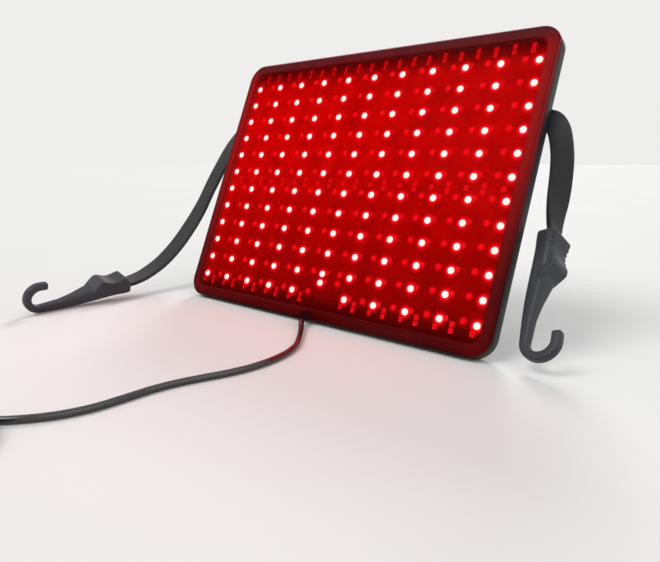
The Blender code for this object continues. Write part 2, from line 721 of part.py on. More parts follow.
def hook_sections():
    """Rings along the hook: ferrule, tapering shank, round bend and tip. X runs along, Z up."""
    side = Vector((0, 1, 0))
    rings = []
    for along, low, high, width in SHANK_SHARES:
        centre = Vector((along * HOOK_LENGTH, 0, (low + high) / 2 * HOOK_HEIGHT))
        height = (high - low) * HOOK_HEIGHT
        breadth = width * HOOK_WIDTH
        corner = min(height, breadth) * HOOK_CORNER_SHARE
        rings.append(section(centre, Vector((1, 0, 0)), side, height / 2, breadth / 2, corner))
    bend = (HOOK_HEIGHT - HOOK_BAR) / 2
    centre_x = HOOK_LENGTH - HOOK_HEIGHT / 2
    bar = (HOOK_BAR / 2, HOOK_BAR_WIDTH / 2, HOOK_BAR * HOOK_CORNER_SHARE)
    for step in range(HOOK_ARC_STEPS + 1):
        turn = -pi / 2 + pi * step / HOOK_ARC_STEPS
        centre = Vector((centre_x + bend * cos(turn), 0, HOOK_HEIGHT / 2 + bend * sin(turn)))
        along = Vector((-sin(turn), 0, cos(turn)))
        rings.append(section(centre, along, side, *bar))
    tip_x = centre_x - HOOK_TIP_SHARE * HOOK_LENGTH
    top = HOOK_HEIGHT / 2 + bend
    back = Vector((-1, 0, 0))
    rings.append(section(Vector((tip_x, 0, top)), back, side, *bar))
    return rings


def tab_outline():
    """Side view of the thumb tab: ramp, saddle with cross ridges, and heel."""
    points = [(a * HOOK_LENGTH, b * HOOK_HEIGHT) for a, b in TAB_RAMP_SHARES]
    start, end = TAB_SADDLE_START_SHARE * HOOK_LENGTH, TAB_SADDLE_END_SHARE * HOOK_LENGTH
    steps = TAB_RIDGES * RIDGE_STEPS
    for i in range(steps + 1):
        share = i / steps
        dip = TAB_SADDLE_DIP * sin(pi * share)
        ridge = TAB_RIDGE_HEIGHT if i % RIDGE_STEPS in range(1, RIDGE_STEPS - 1) else 0
        points.append((start + (end - start) * share, TAB_SADDLE_SHARE * HOOK_HEIGHT - dip + ridge))
    points += [(a * HOOK_LENGTH, b * HOOK_HEIGHT) for a, b in TAB_HEEL_SHARES]
    return points


def make_hook(name, place, finish):
    hook = add_object(name, loft(hook_sections()), finish)
    hook.matrix_world = place
    half = HOOK_WIDTH * TAB_WIDTH_SHARE / 2
    outline = tab_outline()
    rings = []
    for y in (-half, half):
        rings.append([(a, y, b) for a, b in outline])
    tab = add_cutter(name + "_tab", loft(rings))
    tab.matrix_world = place
    bevel = tab.modifiers.new("edge", "BEVEL")
    bevel.width = TAB_BEVEL
    bevel.segments = 1
    bevel.limit_method = "ANGLE"
    bevel.angle_limit = TAB_BEVEL_ANGLE
    boolean(hook, tab, "UNION")
    mouth_z = HOOK_MOUTH_SHARE * HOOK_HEIGHT
    half_width = STRAP_WIDTH / 2 + MOUTH_CLEARANCE
    half_height = STRAP_THICKNESS / 2 + MOUTH_CLEARANCE
    mouth = bmesh.new()
    box(mouth, (-CUT_OVERRUN, -half_width, mouth_z - half_height),
        (HOOK_MOUTH_DEPTH, half_width, mouth_z + half_height))
    cutter = add_cutter(name + "_mouth", mouth)
    cutter.matrix_world = place
    boolean(hook, cutter)
    return smooth(hook)


def hook_places():
    mouth = Vector((0, 0, HOOK_MOUTH_SHARE * HOOK_HEIGHT))
    left = Vector((-PANEL_WIDTH / 2 - LEFT_HOOK_ASIDE, -LEFT_HOOK_FORWARD, LEFT_HOOK_LIFT))
    left_place = frame_at(left, Vector((0, -1, 0)), Vector(LEFT_HOOK_OPEN_SHARES))
    right = Vector((PANEL_WIDTH / 2 + RIGHT_HOOK_ASIDE, RIGHT_HOOK_BACK, RIGHT_HOOK_HEIGHT))
    right_place = frame_at(right, Vector(RIGHT_HOOK_AIM_SHARES), Vector(RIGHT_HOOK_OPEN_SHARES))
    right_place = right_place @ Matrix.Translation(-mouth)
    return left_place, right_place


def strap_run(start, place, shares, side):
    """Stations of one free run, from its start behind the panel into the hook's mouth."""
    mouth = place @ Vector((0, 0, HOOK_MOUTH_SHARE * HOOK_HEIGHT))
    aim = (place.to_3x3() @ Vector((1, 0, 0))).normalized()
    flat = (place.to_3x3() @ Vector((0, 1, 0))).normalized() * side
    upright = (PANEL_MATRIX.to_3x3() @ Vector((0, 1, 0))).normalized()
    aside = Vector((side, 0, 0))
    span = mouth - start
    centres = [start]
    widths = [upright]
    for across, forward, down, turn, twist in shares:
        centres.append(start + Vector((across * span.x, forward * span.y, down * span.z)))
        turned_width = upright * cos(turn * pi / 2) + aside * sin(turn * pi / 2)
        widths.append(turned_width.lerp(flat, twist).normalized())
    inside = mouth + aim * (HOOK_MOUTH_DEPTH - SEAT_GAP)
    centres += [mouth - aim * STRAP_EXIT, mouth, inside]
    widths += [flat, flat, flat]
    return catmull_rom(centres, RUN_STEPS), catmull_rom(widths, RUN_STEPS)


def make_strap(left_place, right_place, finish):
    upright = (PANEL_MATRIX.to_3x3() @ Vector((0, 1, 0))).normalized()
    ends = (-PANEL_WIDTH / 2 - STRAP_EXIT, PANEL_WIDTH / 2 - RIGHT_TURN_START)
    starts = [PANEL_MATRIX @ Vector((x, STRAP_HEIGHT_ON_BACK, STRAP_BACK_Z)) for x in ends]
    left_centres, left_widths = strap_run(starts[0], left_place, LEFT_RUN_SHARES, -1)
    right_centres, right_widths = strap_run(starts[1], right_place, RIGHT_RUN_SHARES, 1)
    middle = [starts[0].lerp(starts[1], i / STRAP_SPAN_STEPS) for i in range(1, STRAP_SPAN_STEPS)]
    centres = list(reversed(left_centres)) + middle + right_centres
    widths = list(reversed(left_widths)) + [upright] * len(middle) + right_widths
    rings = []
    last = len(centres) - 1
    for i, (centre, width) in enumerate(zip(centres, widths)):
        along = centres[min(i + 1, last)] - centres[max(i - 1, 0)]
        across = (width - width.dot(along.normalized()) * along.normalized()).normalized()
        rings.append(section(centre, along, across, STRAP_THICKNESS / 2, STRAP_WIDTH / 2, STRAP_CORNER))
    return smooth(add_object("elastic_strap", loft(rings), finish))


def make_strap_guides(frame, finish, screw_finish):
    slot_half = STRAP_WIDTH / 2 + GUIDE_SLOT_CLEARANCE
    slot_low = STRAP_BACK_Z - STRAP_THICKNESS / 2 - GUIDE_SLOT_CLEARANCE
    base = TRAY_BACK + BACK_RECESS_DEPTH - SEAT_GAP
    foot = base - GUIDE_FOOT_THICKNESS
    roof = slot_low - GUIDE_ROOF
    inner = slot_half + GUIDE_ROOF
    outer = inner + GUIDE_FOOT_HEIGHT
    # Profile of the bridge in Y and Z, from its lower foot over the strap to its upper foot
    profile = [
        (-outer, base), (-outer, foot), (-inner, foot), (-inner + GUIDE_EDGE_ROUND, roof),
        (inner - GUIDE_EDGE_ROUND, roof), (inner, foot), (outer, foot), (outer, base),
        (slot_half, base), (slot_half, slot_low), (-slot_half, slot_low), (-slot_half, base),
    ]
    places = []
    for name, side in (("strap_guide_left", -1), ("strap_guide_right", 1)):
        centre = side * GUIDE_SPACING_SHARE * PANEL_WIDTH / 2
        rings = []
        for x in (centre - GUIDE_WIDTH / 2, centre + GUIDE_WIDTH / 2):
            rings.append([(x, STRAP_HEIGHT_ON_BACK + y, z) for y, z in profile])
        guide = add_object(name, loft(rings), finish, frame)
        bevel = guide.modifiers.new("edge", "BEVEL")
        bevel.width = GUIDE_BEVEL
        bevel.segments = 1
        bevel.limit_method = "ANGLE"
        bevel.angle_limit = GUIDE_BEVEL_ANGLE
        for up in (-1, 1):
            places.append((centre, STRAP_HEIGHT_ON_BACK + up * (inner + outer) / 2, 0))
    screw = cap_screw(GUIDE_SCREW_RADIUS, GUIDE_SCREW_HEIGHT, foot)
    add_copies("guide_screw", screw, places, screw_finish, frame)


def stand_angles():
    """The angle that the open stand makes with the panel's back, from the floor up."""
    pivot = PANEL_MATRIX @ Vector((0, STAND_HINGE_HEIGHT, PIVOT_Z))
    drop = pivot.z - SLEEVE_RADIUS - SLEEVE_RIB_HEIGHT
    from_vertical = acos(drop / STAND_LEG_LENGTH)
    return pivot, from_vertical + LEAN


def arc_points(centre, radius, start, end, steps):
    return [centre + Vector((radius * cos(start + (end - start) * i / steps),
                             radius * sin(start + (end - start) * i / steps), 0)) for i in range(steps + 1)]


def make_stand(finish, sleeve_finish):
    """A U of wire with inturned ends. Its empty sits on the hinge axis; legs hang along its -Y."""
    pivot, opening = stand_angles()
    frame = bpy.data.objects.new("stand_axis", None)
    bpy.context.collection.objects.link(frame)
    frame.location = pivot
    frame.rotation_euler = (pi / 2 - LEAN + opening, 0, 0)
    half = STAND_WIDTH / 2
    foot = -STAND_LEG_LENGTH
    pin = half - STAND_PIN_LENGTH
    run = [Vector((-pin, 0, 0))]
    run += arc_points(Vector((-half + STAND_PIN_BEND, -STAND_PIN_BEND, 0)), STAND_PIN_BEND, pi / 2, pi,
                      STAND_PIN_STEPS)
    run += arc_points(Vector((-half + STAND_BEND_RADIUS, foot + STAND_BEND_RADIUS, 0)), STAND_BEND_RADIUS,
                      pi, 1.5 * pi, STAND_BEND_STEPS)
    run += arc_points(Vector((half - STAND_BEND_RADIUS, foot + STAND_BEND_RADIUS, 0)), STAND_BEND_RADIUS,
                      1.5 * pi, tau, STAND_BEND_STEPS)
    run += arc_points(Vector((half - STAND_PIN_BEND, -STAND_PIN_BEND, 0)), STAND_PIN_BEND, 0, pi / 2,
                      STAND_PIN_STEPS)
    run.append(Vector((pin, 0, 0)))
    tube("stand_wire", run, STAND_WIRE_RADIUS, finish, 3, frame)
    sleeve_rings = []
    steps = SLEEVE_RIBS * RIDGE_STEPS
    for i in range(steps + 1):
        radius = SLEEVE_RADIUS + (SLEEVE_RIB_HEIGHT if i % RIDGE_STEPS in range(1, RIDGE_STEPS - 1) else 0)
        x = -SLEEVE_LENGTH / 2 + SLEEVE_LENGTH * i / steps
        sleeve_rings.append([(x, foot + py, pz) for py, pz in disc(radius, BORE_SIDES)])
    sleeve = add_object("stand_foot_sleeve", loft(sleeve_rings), sleeve_finish, frame)
    bore = [[(x, foot + py, pz) for py, pz in disc(STAND_WIRE_RADIUS + SEAT_GAP, BORE_SIDES)]
            for x in (-SLEEVE_LENGTH / 2 - CUT_OVERRUN, SLEEVE_LENGTH / 2 + CUT_OVERRUN)]
    boolean(sleeve, add_cutter("sleeve_bore_cutter", loft(bore), frame))
    return frame


def swing_cutter_outline(opening):
    """Side view, in Y and Z about the pivot, of the space that the wire leg swings through."""
    room = STAND_WIRE_RADIUS + SWING_CLEARANCE
    folded = Vector((-1, 0))
    opened = Vector((-cos(opening), -sin(opening)))
    corner = room * SWING_CORNER_SHARE
    below = Vector((sin(opening), -cos(opening))) * room
    points = [folded * SWING_REACH + Vector((0, room)), Vector((0, room))]
    points += [Vector((room, corner)), Vector((room, -corner)), below, opened * SWING_REACH + below]
    return points


def make_stand_clips(frame, finish, screw_finish):
    opening = stand_angles()[1]
    base = TRAY_BACK + BACK_RECESS_DEPTH - SEAT_GAP
    foot = base - CLIP_BASE_THICKNESS
    places = []
    for name, side in (("stand_clip_left", -1), ("stand_clip_right", 1)):
        outer = side * (STAND_WIDTH / 2 + CLIP_CHEEK / 2)
        inner = side * (STAND_WIDTH / 2 - CLIP_CHEEK / 2 - CLIP_WIDTH)
        low, high = min(outer, inner), max(outer, inner)
        plate = rounded_rectangle(high - low, CLIP_BASE_HEIGHT, CLIP_SCREW_RADIUS, CLIP_CORNER_STEPS)
        middle = (low + high) / 2
        rings = [[(middle + x, STAND_HINGE_HEIGHT + y, z) for x, y in plate] for z in (foot, base)]
        clip = add_object(name, loft(rings), finish, frame)
        knuckle = disc(CLIP_KNUCKLE_RADIUS, CLIP_KNUCKLE_SIDES)
        barrel = [[(x, STAND_HINGE_HEIGHT + y, PIVOT_Z + z) for y, z in knuckle] for x in (low, high)]
        barrel_solid = add_cutter(name + "_barrel", loft(barrel), frame)
        boolean(clip, barrel_solid, "UNION")
        bore = disc(STAND_WIRE_RADIUS + CLIP_BORE_CLEARANCE, BORE_SIDES)
        through = [[(x, STAND_HINGE_HEIGHT + y, PIVOT_Z + z) for y, z in bore]
                   for x in (low - CUT_OVERRUN, high + CUT_OVERRUN)]
        boolean(clip, add_cutter(name + "_bore", loft(through), frame))
        swing = swing_cutter_outline(opening)
        near = side * (STAND_WIDTH / 2 - CLIP_CHEEK / 2)
        far = side * (STAND_WIDTH / 2 + CLIP_CHEEK / 2 + CUT_OVERRUN)
        sweep = [[(x, STAND_HINGE_HEIGHT + p.x, PIVOT_Z + p.y) for p in swing] for x in (near, far)]
        boolean(clip, add_cutter(name + "_swing", loft(sweep), frame))
        for up in (-1, 1):
            places.append((middle, STAND_HINGE_HEIGHT + up * CLIP_SCREW_OFFSET, 0))
    screw = cap_screw(CLIP_SCREW_RADIUS, CLIP_SCREW_HEIGHT, foot)
    add_copies("clip_screw", screw, places, screw_finish, frame)


def coil_points(centre, start_turn):
    """Loops that spiral in on the floor, climb a layer and spiral out again at a steady rate."""
    points = []
    outer = COIL_INNER_RADIUS + COIL_TURNS * COIL_PITCH
    total = int(COIL_TURNS * COIL_LAYERS * COIL_TURN_STEPS)
    per_layer = COIL_TURNS * COIL_TURN_STEPS
    half_turn = COIL_TURN_STEPS / 2
    for i in range(total + 1):
        angle = start_turn + tau * i / COIL_TURN_STEPS
        if i <= per_layer:
            radius = outer - COIL_PITCH * i / COIL_TURN_STEPS
        else:
            radius = COIL_INNER_RADIUS + COIL_PITCH * (i - per_layer) / COIL_TURN_STEPS
        climb = min(max((i - per_layer + half_turn / 2) / half_turn, 0), 1)
        climb = climb * climb * (3 - 2 * climb)
        z = CORD_DIAMETER / 2 + COIL_LAYER_PITCH * climb
        points.append(Vector((centre.x + radius * cos(angle), centre.y + radius * sin(angle), z)))
    return points


def least_gap(points, diameter, skip):
    """Smallest clear distance between stretches of one run that lie more than a few points apart."""
    least = None
    for i, first in enumerate(points):
        for second in points[i + skip:]:
            gap = (first - second).length - diameter
            least = gap if least is None else min(least, gap)
    return least


def make_cord(finish):
    route = [Vector(point) for point in CORD_ROUTE]
    heading = route[-1] - route[-2]
    heading.z = 0
    heading.normalize()
    # The coil turns to the left seen from above, so its centre is to the left of the cord's heading
    outer = COIL_INNER_RADIUS + COIL_TURNS * COIL_PITCH
    to_centre = Vector((-heading.y, heading.x, 0))
    centre = route[-1] + heading * CORD_DIAMETER + to_centre * outer
    start_turn = atan2(-to_centre.y, -to_centre.x)
    run = catmull_rom(route, CORD_STEPS)
    tube("power_cord", run, CORD_DIAMETER / 2, finish, 2)
    loops = coil_points(centre, start_turn)
    first = route[-1] + heading * CORD_GAP
    loops = [first] + loops
    end_heading = (loops[-1] - loops[-2]).normalized()
    loops.append(loops[-1] + end_heading * CORD_DIAMETER)
    tube("cord_coil", loops, CORD_DIAMETER / 2, finish, 1)
    gap = least_gap(loops, CORD_DIAMETER, COIL_GAP_SKIP)
    print("least gap of the coil to itself: %.2f mm" % (gap * 1000))
    length = sum((b - a).length for path in (run, loops) for a, b in zip(path, path[1:]))
    print("cord length: %.3f m" % length)
    return loops[-1], end_heading


def make_plug(end, heading, body_finish, sleeve_finish, core_finish):
    place = frame_at(end + heading * CORD_GAP, Vector((0, 0, 1)), heading)
    body_end = PLUG_RELIEF_LENGTH + PLUG_BODY_LENGTH
    body = smooth(add_object("plug_body", turned((
        (0, PLUG_RELIEF_RADIUS * PLUG_RELIEF_START_SHARE),
        (PLUG_RELIEF_LENGTH / 2, PLUG_RELIEF_RADIUS * PLUG_RELIEF_MIDDLE_SHARE),
        (PLUG_RELIEF_LENGTH, PLUG_RELIEF_RADIUS),
        (PLUG_RELIEF_LENGTH + PLUG_SHOULDER, PLUG_BODY_RADIUS * PLUG_SHOULDER_SHARE),
        (PLUG_RELIEF_LENGTH + PLUG_EDGE, PLUG_BODY_RADIUS),
        (body_end - PLUG_EDGE, PLUG_BODY_RADIUS),
        (body_end, PLUG_BODY_RADIUS * PLUG_FRONT_SHARE),
    )), body_finish))
    body.matrix_world = place
    front = body_end + SEAT_GAP
    sleeve = smooth(add_object("plug_sleeve", turned((
        (front, PLUG_SLEEVE_RADIUS),
        (front + PLUG_SLEEVE_LENGTH, PLUG_SLEEVE_RADIUS),
    )), sleeve_finish))
    sleeve.matrix_world = place
    hollow = add_cutter("plug_sleeve_cutter", turned((
        (front - CUT_OVERRUN, PLUG_SLEEVE_RADIUS - PLUG_SLEEVE_WALL),
        (front + PLUG_SLEEVE_LENGTH + CUT_OVERRUN, PLUG_SLEEVE_RADIUS - PLUG_SLEEVE_WALL),
    )))
    hollow.matrix_world = place
    boolean(sleeve, hollow)
    core = smooth(add_object("plug_insulator", turned((
        (front, PLUG_CORE_RADIUS),
        (front + PLUG_SLEEVE_LENGTH, PLUG_CORE_RADIUS),
    )), core_finish))
    core.matrix_world = place
    bore = add_cutter("plug_bore_cutter", turned((
        (front + PLUG_SLEEVE_WALL, PLUG_CORE_BORE),
        (front + PLUG_SLEEVE_LENGTH + CUT_OVERRUN, PLUG_CORE_BORE),
    )))
    bore.matrix_world = place
    boolean(core, bore)


def main():
    clear_scene()
    housing = material("housing_black", (0.030, 0.028, 0.034), 0.42)
    bezel_finish = material("bezel_grey", (0.060, 0.052, 0.060), 0.35)
    clear = material("clear_window", (0.92, 0.90, 0.90), 0.05, 0.0, 0.25)
    gasket = material("black_silicone", (0.020, 0.018, 0.020), 0.7)
    board = material("red_lit_board", (0.60, 0.02, 0.02), 0.5)
    red_light = material("red_light", (1.0, 0.30, 0.28), 0.3, 0.0, 1.0, 4.0)
    infrared = material("infrared_light", (0.75, 0.05, 0.08), 0.3, 0.0, 1.0, 1.0)
    chip = material("resistor_chip", (0.55, 0.06, 0.07), 0.5)
    steel = material("plated_steel", (0.55, 0.55, 0.57), 0.3, 1.0)
    rubber = material("grey_black_rubber", (0.055, 0.055, 0.062), 0.55)
    moulded = material("moulded_grey_black", (0.085, 0.085, 0.095), 0.38)
    sheath = material("cord_sheath", (0.045, 0.045, 0.050), 0.5)
    red_lead = material("red_lead", (0.50, 0.02, 0.02), 0.5)
    black_lead = material("black_lead", (0.02, 0.02, 0.02), 0.5)
    nickel = material("nickel_plate", (0.70, 0.69, 0.66), 0.25, 1.0)

    panel = bpy.data.objects.new("panel_frame", None)
    bpy.context.collection.objects.link(panel)
    panel.matrix_world = PANEL_MATRIX
    notch = make_notch_cutter(panel)
    channel = make_channel_cutter(panel)
    screws = make_screw_cutter(panel)
    make_rear_tray(panel, housing, notch, channel, screws)
    make_front_bezel(panel, bezel_finish, notch, screws)
    make_front_window(panel, clear)
    make_spacer_gasket(panel, gasket, channel)
    make_led_board(panel, board, red_light, infrared, chip)
    make_housing_screws(panel, steel)
    make_cable_grommet(panel, gasket)
    make_leads(panel, red_lead, black_lead)
    make_strap_guides(panel, housing, steel)
    make_stand_clips(panel, housing, steel)
    make_stand(steel, gasket)

    left_place, right_place = hook_places()
    make_hook("hook_left", left_place, moulded)
    make_hook("hook_right", right_place, moulded)
    make_strap(left_place, right_place, rubber)

    end, heading = make_cord(sheath)
    make_plug(end, heading, sheath, nickel, black_lead)


main()
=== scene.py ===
from math import acos, atan2, cos, pi, radians, sin, tau

import bmesh
import bpy
from bpy.props import FloatProperty, FloatVectorProperty, IntProperty, PointerProperty
from bpy.types import Operator, Panel, PropertyGroup
from mathutils import Matrix, Vector


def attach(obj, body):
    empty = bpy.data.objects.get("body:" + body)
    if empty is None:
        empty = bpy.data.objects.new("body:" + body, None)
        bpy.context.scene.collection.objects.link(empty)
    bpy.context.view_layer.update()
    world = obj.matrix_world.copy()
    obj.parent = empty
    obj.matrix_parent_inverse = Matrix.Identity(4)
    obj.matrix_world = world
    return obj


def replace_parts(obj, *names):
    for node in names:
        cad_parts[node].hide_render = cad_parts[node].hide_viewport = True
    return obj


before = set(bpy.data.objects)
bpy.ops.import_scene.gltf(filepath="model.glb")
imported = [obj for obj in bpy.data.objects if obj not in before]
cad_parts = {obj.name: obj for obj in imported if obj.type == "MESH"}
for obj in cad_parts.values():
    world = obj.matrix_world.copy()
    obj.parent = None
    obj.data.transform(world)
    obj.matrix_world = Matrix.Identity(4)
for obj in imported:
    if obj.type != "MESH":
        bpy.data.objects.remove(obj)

bl_info = {
    "name": "Red light panel finish",
    "version": (1, 0, 0),
    "blender": (4, 5, 0),
    "location": "3D View > Sidebar > Light panel",
    "description": "Makes the finished pieces of a red light therapy panel on its packed model",
    "category": "Object",
}

# Cord route on the floor, from the grommet to where the coil takes over, in metres
CORD_ROUTE = (
    (0.0000, -0.0097, 0.0064),
    (0.0004, -0.0132, 0.0072),
    (0.0024, -0.0180, 0.0066),
    (0.0066, -0.0235, 0.0046),
    (0.0130, -0.0305, 0.0027),
    (0.0255, -0.0460, 0.0021),
    (0.0355, -0.0600, 0.0021),
    (0.0415, -0.0750, 0.0021),
    (0.0440, -0.0910, 0.0021),
    (0.0435, -0.1075, 0.0021),
    (0.0400, -0.1235, 0.0021),
    (0.0345, -0.1385, 0.0021),
    (0.0295, -0.1535, 0.0021),
    (0.0267, -0.1690, 0.0021),
    (0.0260, -0.1850, 0.0021),
    (0.0247, -0.2005, 0.0021),
    (0.0200, -0.2155, 0.0021),
    (0.0115, -0.2290, 0.0021),
    (0.0010, -0.2400, 0.0021),
    (-0.0120, -0.2480, 0.0021),
)

# Hook shank: along in hook lengths, lower and upper edge in hook heights, width in hook widths
SHANK_SHARES = (
    (0.00, 0.257, 0.688, 0.92),
    (0.03, 0.240, 0.705, 1.00),
    (0.16, 0.235, 0.705, 1.00),
    (0.26, 0.197, 0.677, 0.94),
    (0.36, 0.137, 0.601, 0.80),
    (0.45, 0.082, 0.508, 0.65),
    (0.56, 0.027, 0.388, 0.48),
    (0.68, 0.000, 0.290, 0.37),
)
HOOK_TIP_SHARE = 0.060
HOOK_MOUTH_SHARE = 0.535
# Thumb tab seen from the side: along in hook lengths, up in hook heights
TAB_RAMP_SHARES = ((0.40, 0.437), (0.385, 0.524), (0.325, 0.765), (0.305, 0.814), (0.27, 0.827))
TAB_HEEL_SHARES = ((0.055, 0.841), (0.035, 0.819), (0.018, 0.721), (0.012, 0.459))
TAB_SADDLE_SHARE = 0.803
TAB_SADDLE_SPAN = (0.250, 0.085)
TAB_WIDTH_SHARE = 0.86
# Grip ridges: how many, where along the hook they begin and end, and how far down they reach
RIDGES = 5
RIDGE_SPAN = (0.262, 0.075)
RIDGE_FOOT_SHARE = 0.56
# How far a ridge stands out of the saddle, and the rounds of the ridges' and of the tab's edges
RIDGE_PROUD = 0.0002
RIDGE_ROUND = 0.0004
TAB_ROUND = 0.0010
# How fine the moulded hooks are cast, and how often they are smoothed
MOULD_VOXEL = 0.0005
MOULD_PASSES = 3
# The last stretch of the hook's tip: share of its length and of its thickness
TIP_STEPS = ((0.5, 1.0), (0.9, 0.97), (1.0, 0.86))
LEFT_HOOK_OPEN_SHARES = (0.292, 0.0, 0.956)
RIGHT_HOOK_AIM_SHARES = (0.199, -0.654, -0.738)
RIGHT_HOOK_OPEN_SHARES = (0.942, -0.058, 0.330)
# Free runs of the strap: across, forward and down as shares of the way from the panel to the hook,
# then the share of the turn that its width makes aside, and the share of its twist to the mouth
LEFT_RUN_SHARES = (
    (0.25, 0.00, 0.03, 0.0, 0.05),
    (0.52, 0.03, 0.11, 0.0, 0.12),
    (0.75, 0.10, 0.25, 0.0, 0.22),
    (0.93, 0.18, 0.40, 0.0, 0.34),
    (1.08, 0.26, 0.55, 0.0, 0.47),
    (1.17, 0.36, 0.68, 0.0, 0.60),
    (1.18, 0.50, 0.81, 0.0, 0.74),
    (1.12, 0.66, 0.91, 0.0, 0.87),
    (1.04, 0.83, 0.975, 0.0, 0.96),
)
RIGHT_RUN_SHARES = (
    (0.37, 0.05, 0.022, 0.33, 0.00),
    (0.62, 0.18, 0.083, 0.67, 0.00),
    (0.78, 0.33, 0.167, 0.92, 0.00),
    (0.91, 0.44, 0.310, 1.00, 0.08),
    (0.95, 0.51, 0.470, 1.00, 0.28),
    (0.92, 0.54, 0.690, 1.00, 0.62),
    (0.91, 0.62, 0.830, 1.00, 0.86),
)
# How close the strap's ribs lie across it and its cross weave along it, in radians per metre
STRAP_RIBS = 5200.0
STRAP_PICKS = 7000.0
# Each resistor: across from its light in column pitches, up from its row in row pitches
TOP_CHIP_SHARES = ((0.28, 0.48), (0.28, 0.74), (-0.22, 0.46), (-0.22, 0.70))
MIDDLE_CHIP_SHARES = ((0.34, -0.36), (0.34, -0.64), (-0.14, -0.50))
BOTTOM_CHIP_SHARES = ((0.36, -0.12), (0.36, -0.38), (-0.08, -0.34))
# A resistor's body by its length; a soldered end by shares of the resistor's width, length and height, where
# its middle lies along and up, and the round of its edges
CHIP_BODY_SHARE = 0.66
CHIP_END_SHARES = (1.04, 0.19, 1.08)
CHIP_END_PLACE = (0.41, 0.54)
CHIP_END_ROUND = 0.0001
# A red package's cut corner by its side, and its lens's dome by shares of the lens's radius and height
PACKAGE_CUT_SHARE = 0.29
RED_DOME = ((0.93, 0.45), (0.66, 0.82))
# An infrared package: its base by its height, its lens by its side, the lens's shoulder by shares of the
# lens's radius and of the whole height, and the round of the package's edges
INFRARED_BASE_SHARE = 0.7
INFRARED_LENS_SHARE = 0.34
INFRARED_SHOULDER = (0.8, 0.92)
INFRARED_ROUND = 0.0003
# The row with the middle resistors, and the column whose lowest light is lifted
MIDDLE_CHIP_ROW = 5
MOVED_COLUMN = 5
HOUSING_SCREWS = 10
# Glow round a light and on a dim package, by shares of the white spot's radius and of the package's side
DOT_LEVELS = ((0.0, 1.0), (0.85, 0.66), (1.0, 0.54), (1.2, 0.46), (1.5, 0.32), (1.9, 0.14))
DIM_LEVELS = ((0.0, 0.34), (0.60, 0.26), (0.85, 0.10), (1.2, 0.0))
# Glow of the small parts on the board, at its upper left and at its lower right
SOLDER_PAD_GLOW = (0.12, 0.48)
CHIP_PAD_GLOW = (0.14, 0.44)
CHIP_GLOW = (0.22, 0.38)
CHIP_END_GLOW = (0.27, 0.44)
TRACE_GLOW = 0.04
# The flat things on the board lie at heights of their own, so that no two share a face
TRACE_THICKNESS = 0.00008
LIGHT_RING_RISE = 0.00010
SOLDER_PAD_THICKNESS = 0.00012
DIM_RING_RISE = 0.00016
CHIP_PAD_THICKNESS = 0.00018
# Rings on the connector's taper and grooves round its grip: out from the surface, along from where they start
PLUG_RINGS = 6
PLUG_RING_OUTLINE = ((0.0003, 0.0), (0.0003, 0.0009), (-0.0002, 0.0011), (-0.0002, 0.0017))
PLUG_GROOVES = 5
PLUG_GROOVE_OUTLINE = ((0.0, 0.0), (-0.0004, 0.0003), (-0.0004, 0.0009), (0.0, 0.0012))
# Where the rings and the grooves begin, and the stretch that all rings take or the step between two grooves,
# as shares of the taper and of the grip
PLUG_RING_SPAN = (0.08, 0.84)
PLUG_GROOVE_SPAN = (0.28, 0.09)
# How far the connector's taper stands off the cord at its start, at its first ring and at its end, and how
# much further off the rings come along it
TAPER_START = 0.0004
TAPER_FIRST_RING = 0.0005
TAPER_GROWTH = 0.0008
TAPER_END = 0.0012
# The two rounded ends of the connector's grip: share of its radius, and how far from the end that is
GRIP_START = ((0.9, 0.0004), (1.0, 0.0014))
GRIP_END = ((1.0, 0.0009), (0.93, 0.0002), (0.88, 0.0))
# How far the strain relief stands off the cord at its thin end, and the tie off the coil
RELIEF_SKIN = 0.0002
TIE_GAP = 0.0001
# Ribs round the stand's foot sleeve: how many, and for one of them the share along it and how far it is out
SLEEVE_RIBS = 14
RIB_OUTLINE = ((0.12, 0.0), (0.24, 1.0), (0.76, 1.0), (0.88, 0.0))
# Screws: stem of the nodes, how many, and the piece that shows their heads
SCREW_KINDS = (
    ("housing_screw", HOUSING_SCREWS, "case_screw_heads"),
    ("guide_screw", 4, "guide_screw_heads"),
    ("clip_screw", 4, "clip_screw_heads"),
)
# A screw's domed head by shares of its radius and of its height, the most height that it has for its radius,
# and its cross recess by shares of its radius
HEAD_OUTLINE = ((0.0, 0.0), (1.0, 0.0), (1.0, 0.45), (0.94, 0.72), (0.76, 0.9), (0.4, 1.0), (0.0, 1.0))
HEAD_HEIGHT_SHARE = 0.62
RECESS_LENGTH = 1.15
RECESS_WIDTH = 0.26
# How far each screw of a kind stopped further round than the one before, in radians
DRIVER_STEP = 0.6
# Room between two pieces where one sits on or in the other
SEAT_GAP = 0.0003
# How far the cutter of the screw pockets starts behind the back, and how far past a head's seat it goes
POCKET_START = 0.001
POCKET_DEEPER = 0.00005
# A step too narrow to see, so that a face can be drawn straight down a wall
HAIR = 0.00001
# How far a vertex may lie off a level and still count as on it
LEVEL_SLACK = 0.00001
# The camera's place, how far it looks down and round in degrees, and its lens in millimetres
CAMERA_PLACE = (0.2964, -0.3340, 0.1281)
CAMERA_DIP = 12.05
CAMERA_ROUND = 40.03
CAMERA_LENS = 31.287
CAMERA_SENSOR = 36.0
# Each lamp: its name, its strength, and its softness and turn in degrees
LAMPS = (
    ("key_light", 1.30, 35, (38, 0, -25)),
    ("fill_light", 0.60, 60, (50, 0, 80)),
    ("rim_light", 1.00, 14, (52, 0, 205)),
)
# How bright the room lights the panel; to the camera it has the chosen colour at full
ROOM_LEVEL = 0.42
# The red light that the panel throws: its power, its shares of the panel's width and height, and how far in
# front of the panel it starts
RED_GLOW_WATTS = 0.15
RED_GLOW_SHARES = (0.9, 0.85)
RED_GLOW_LIFT = 0.004
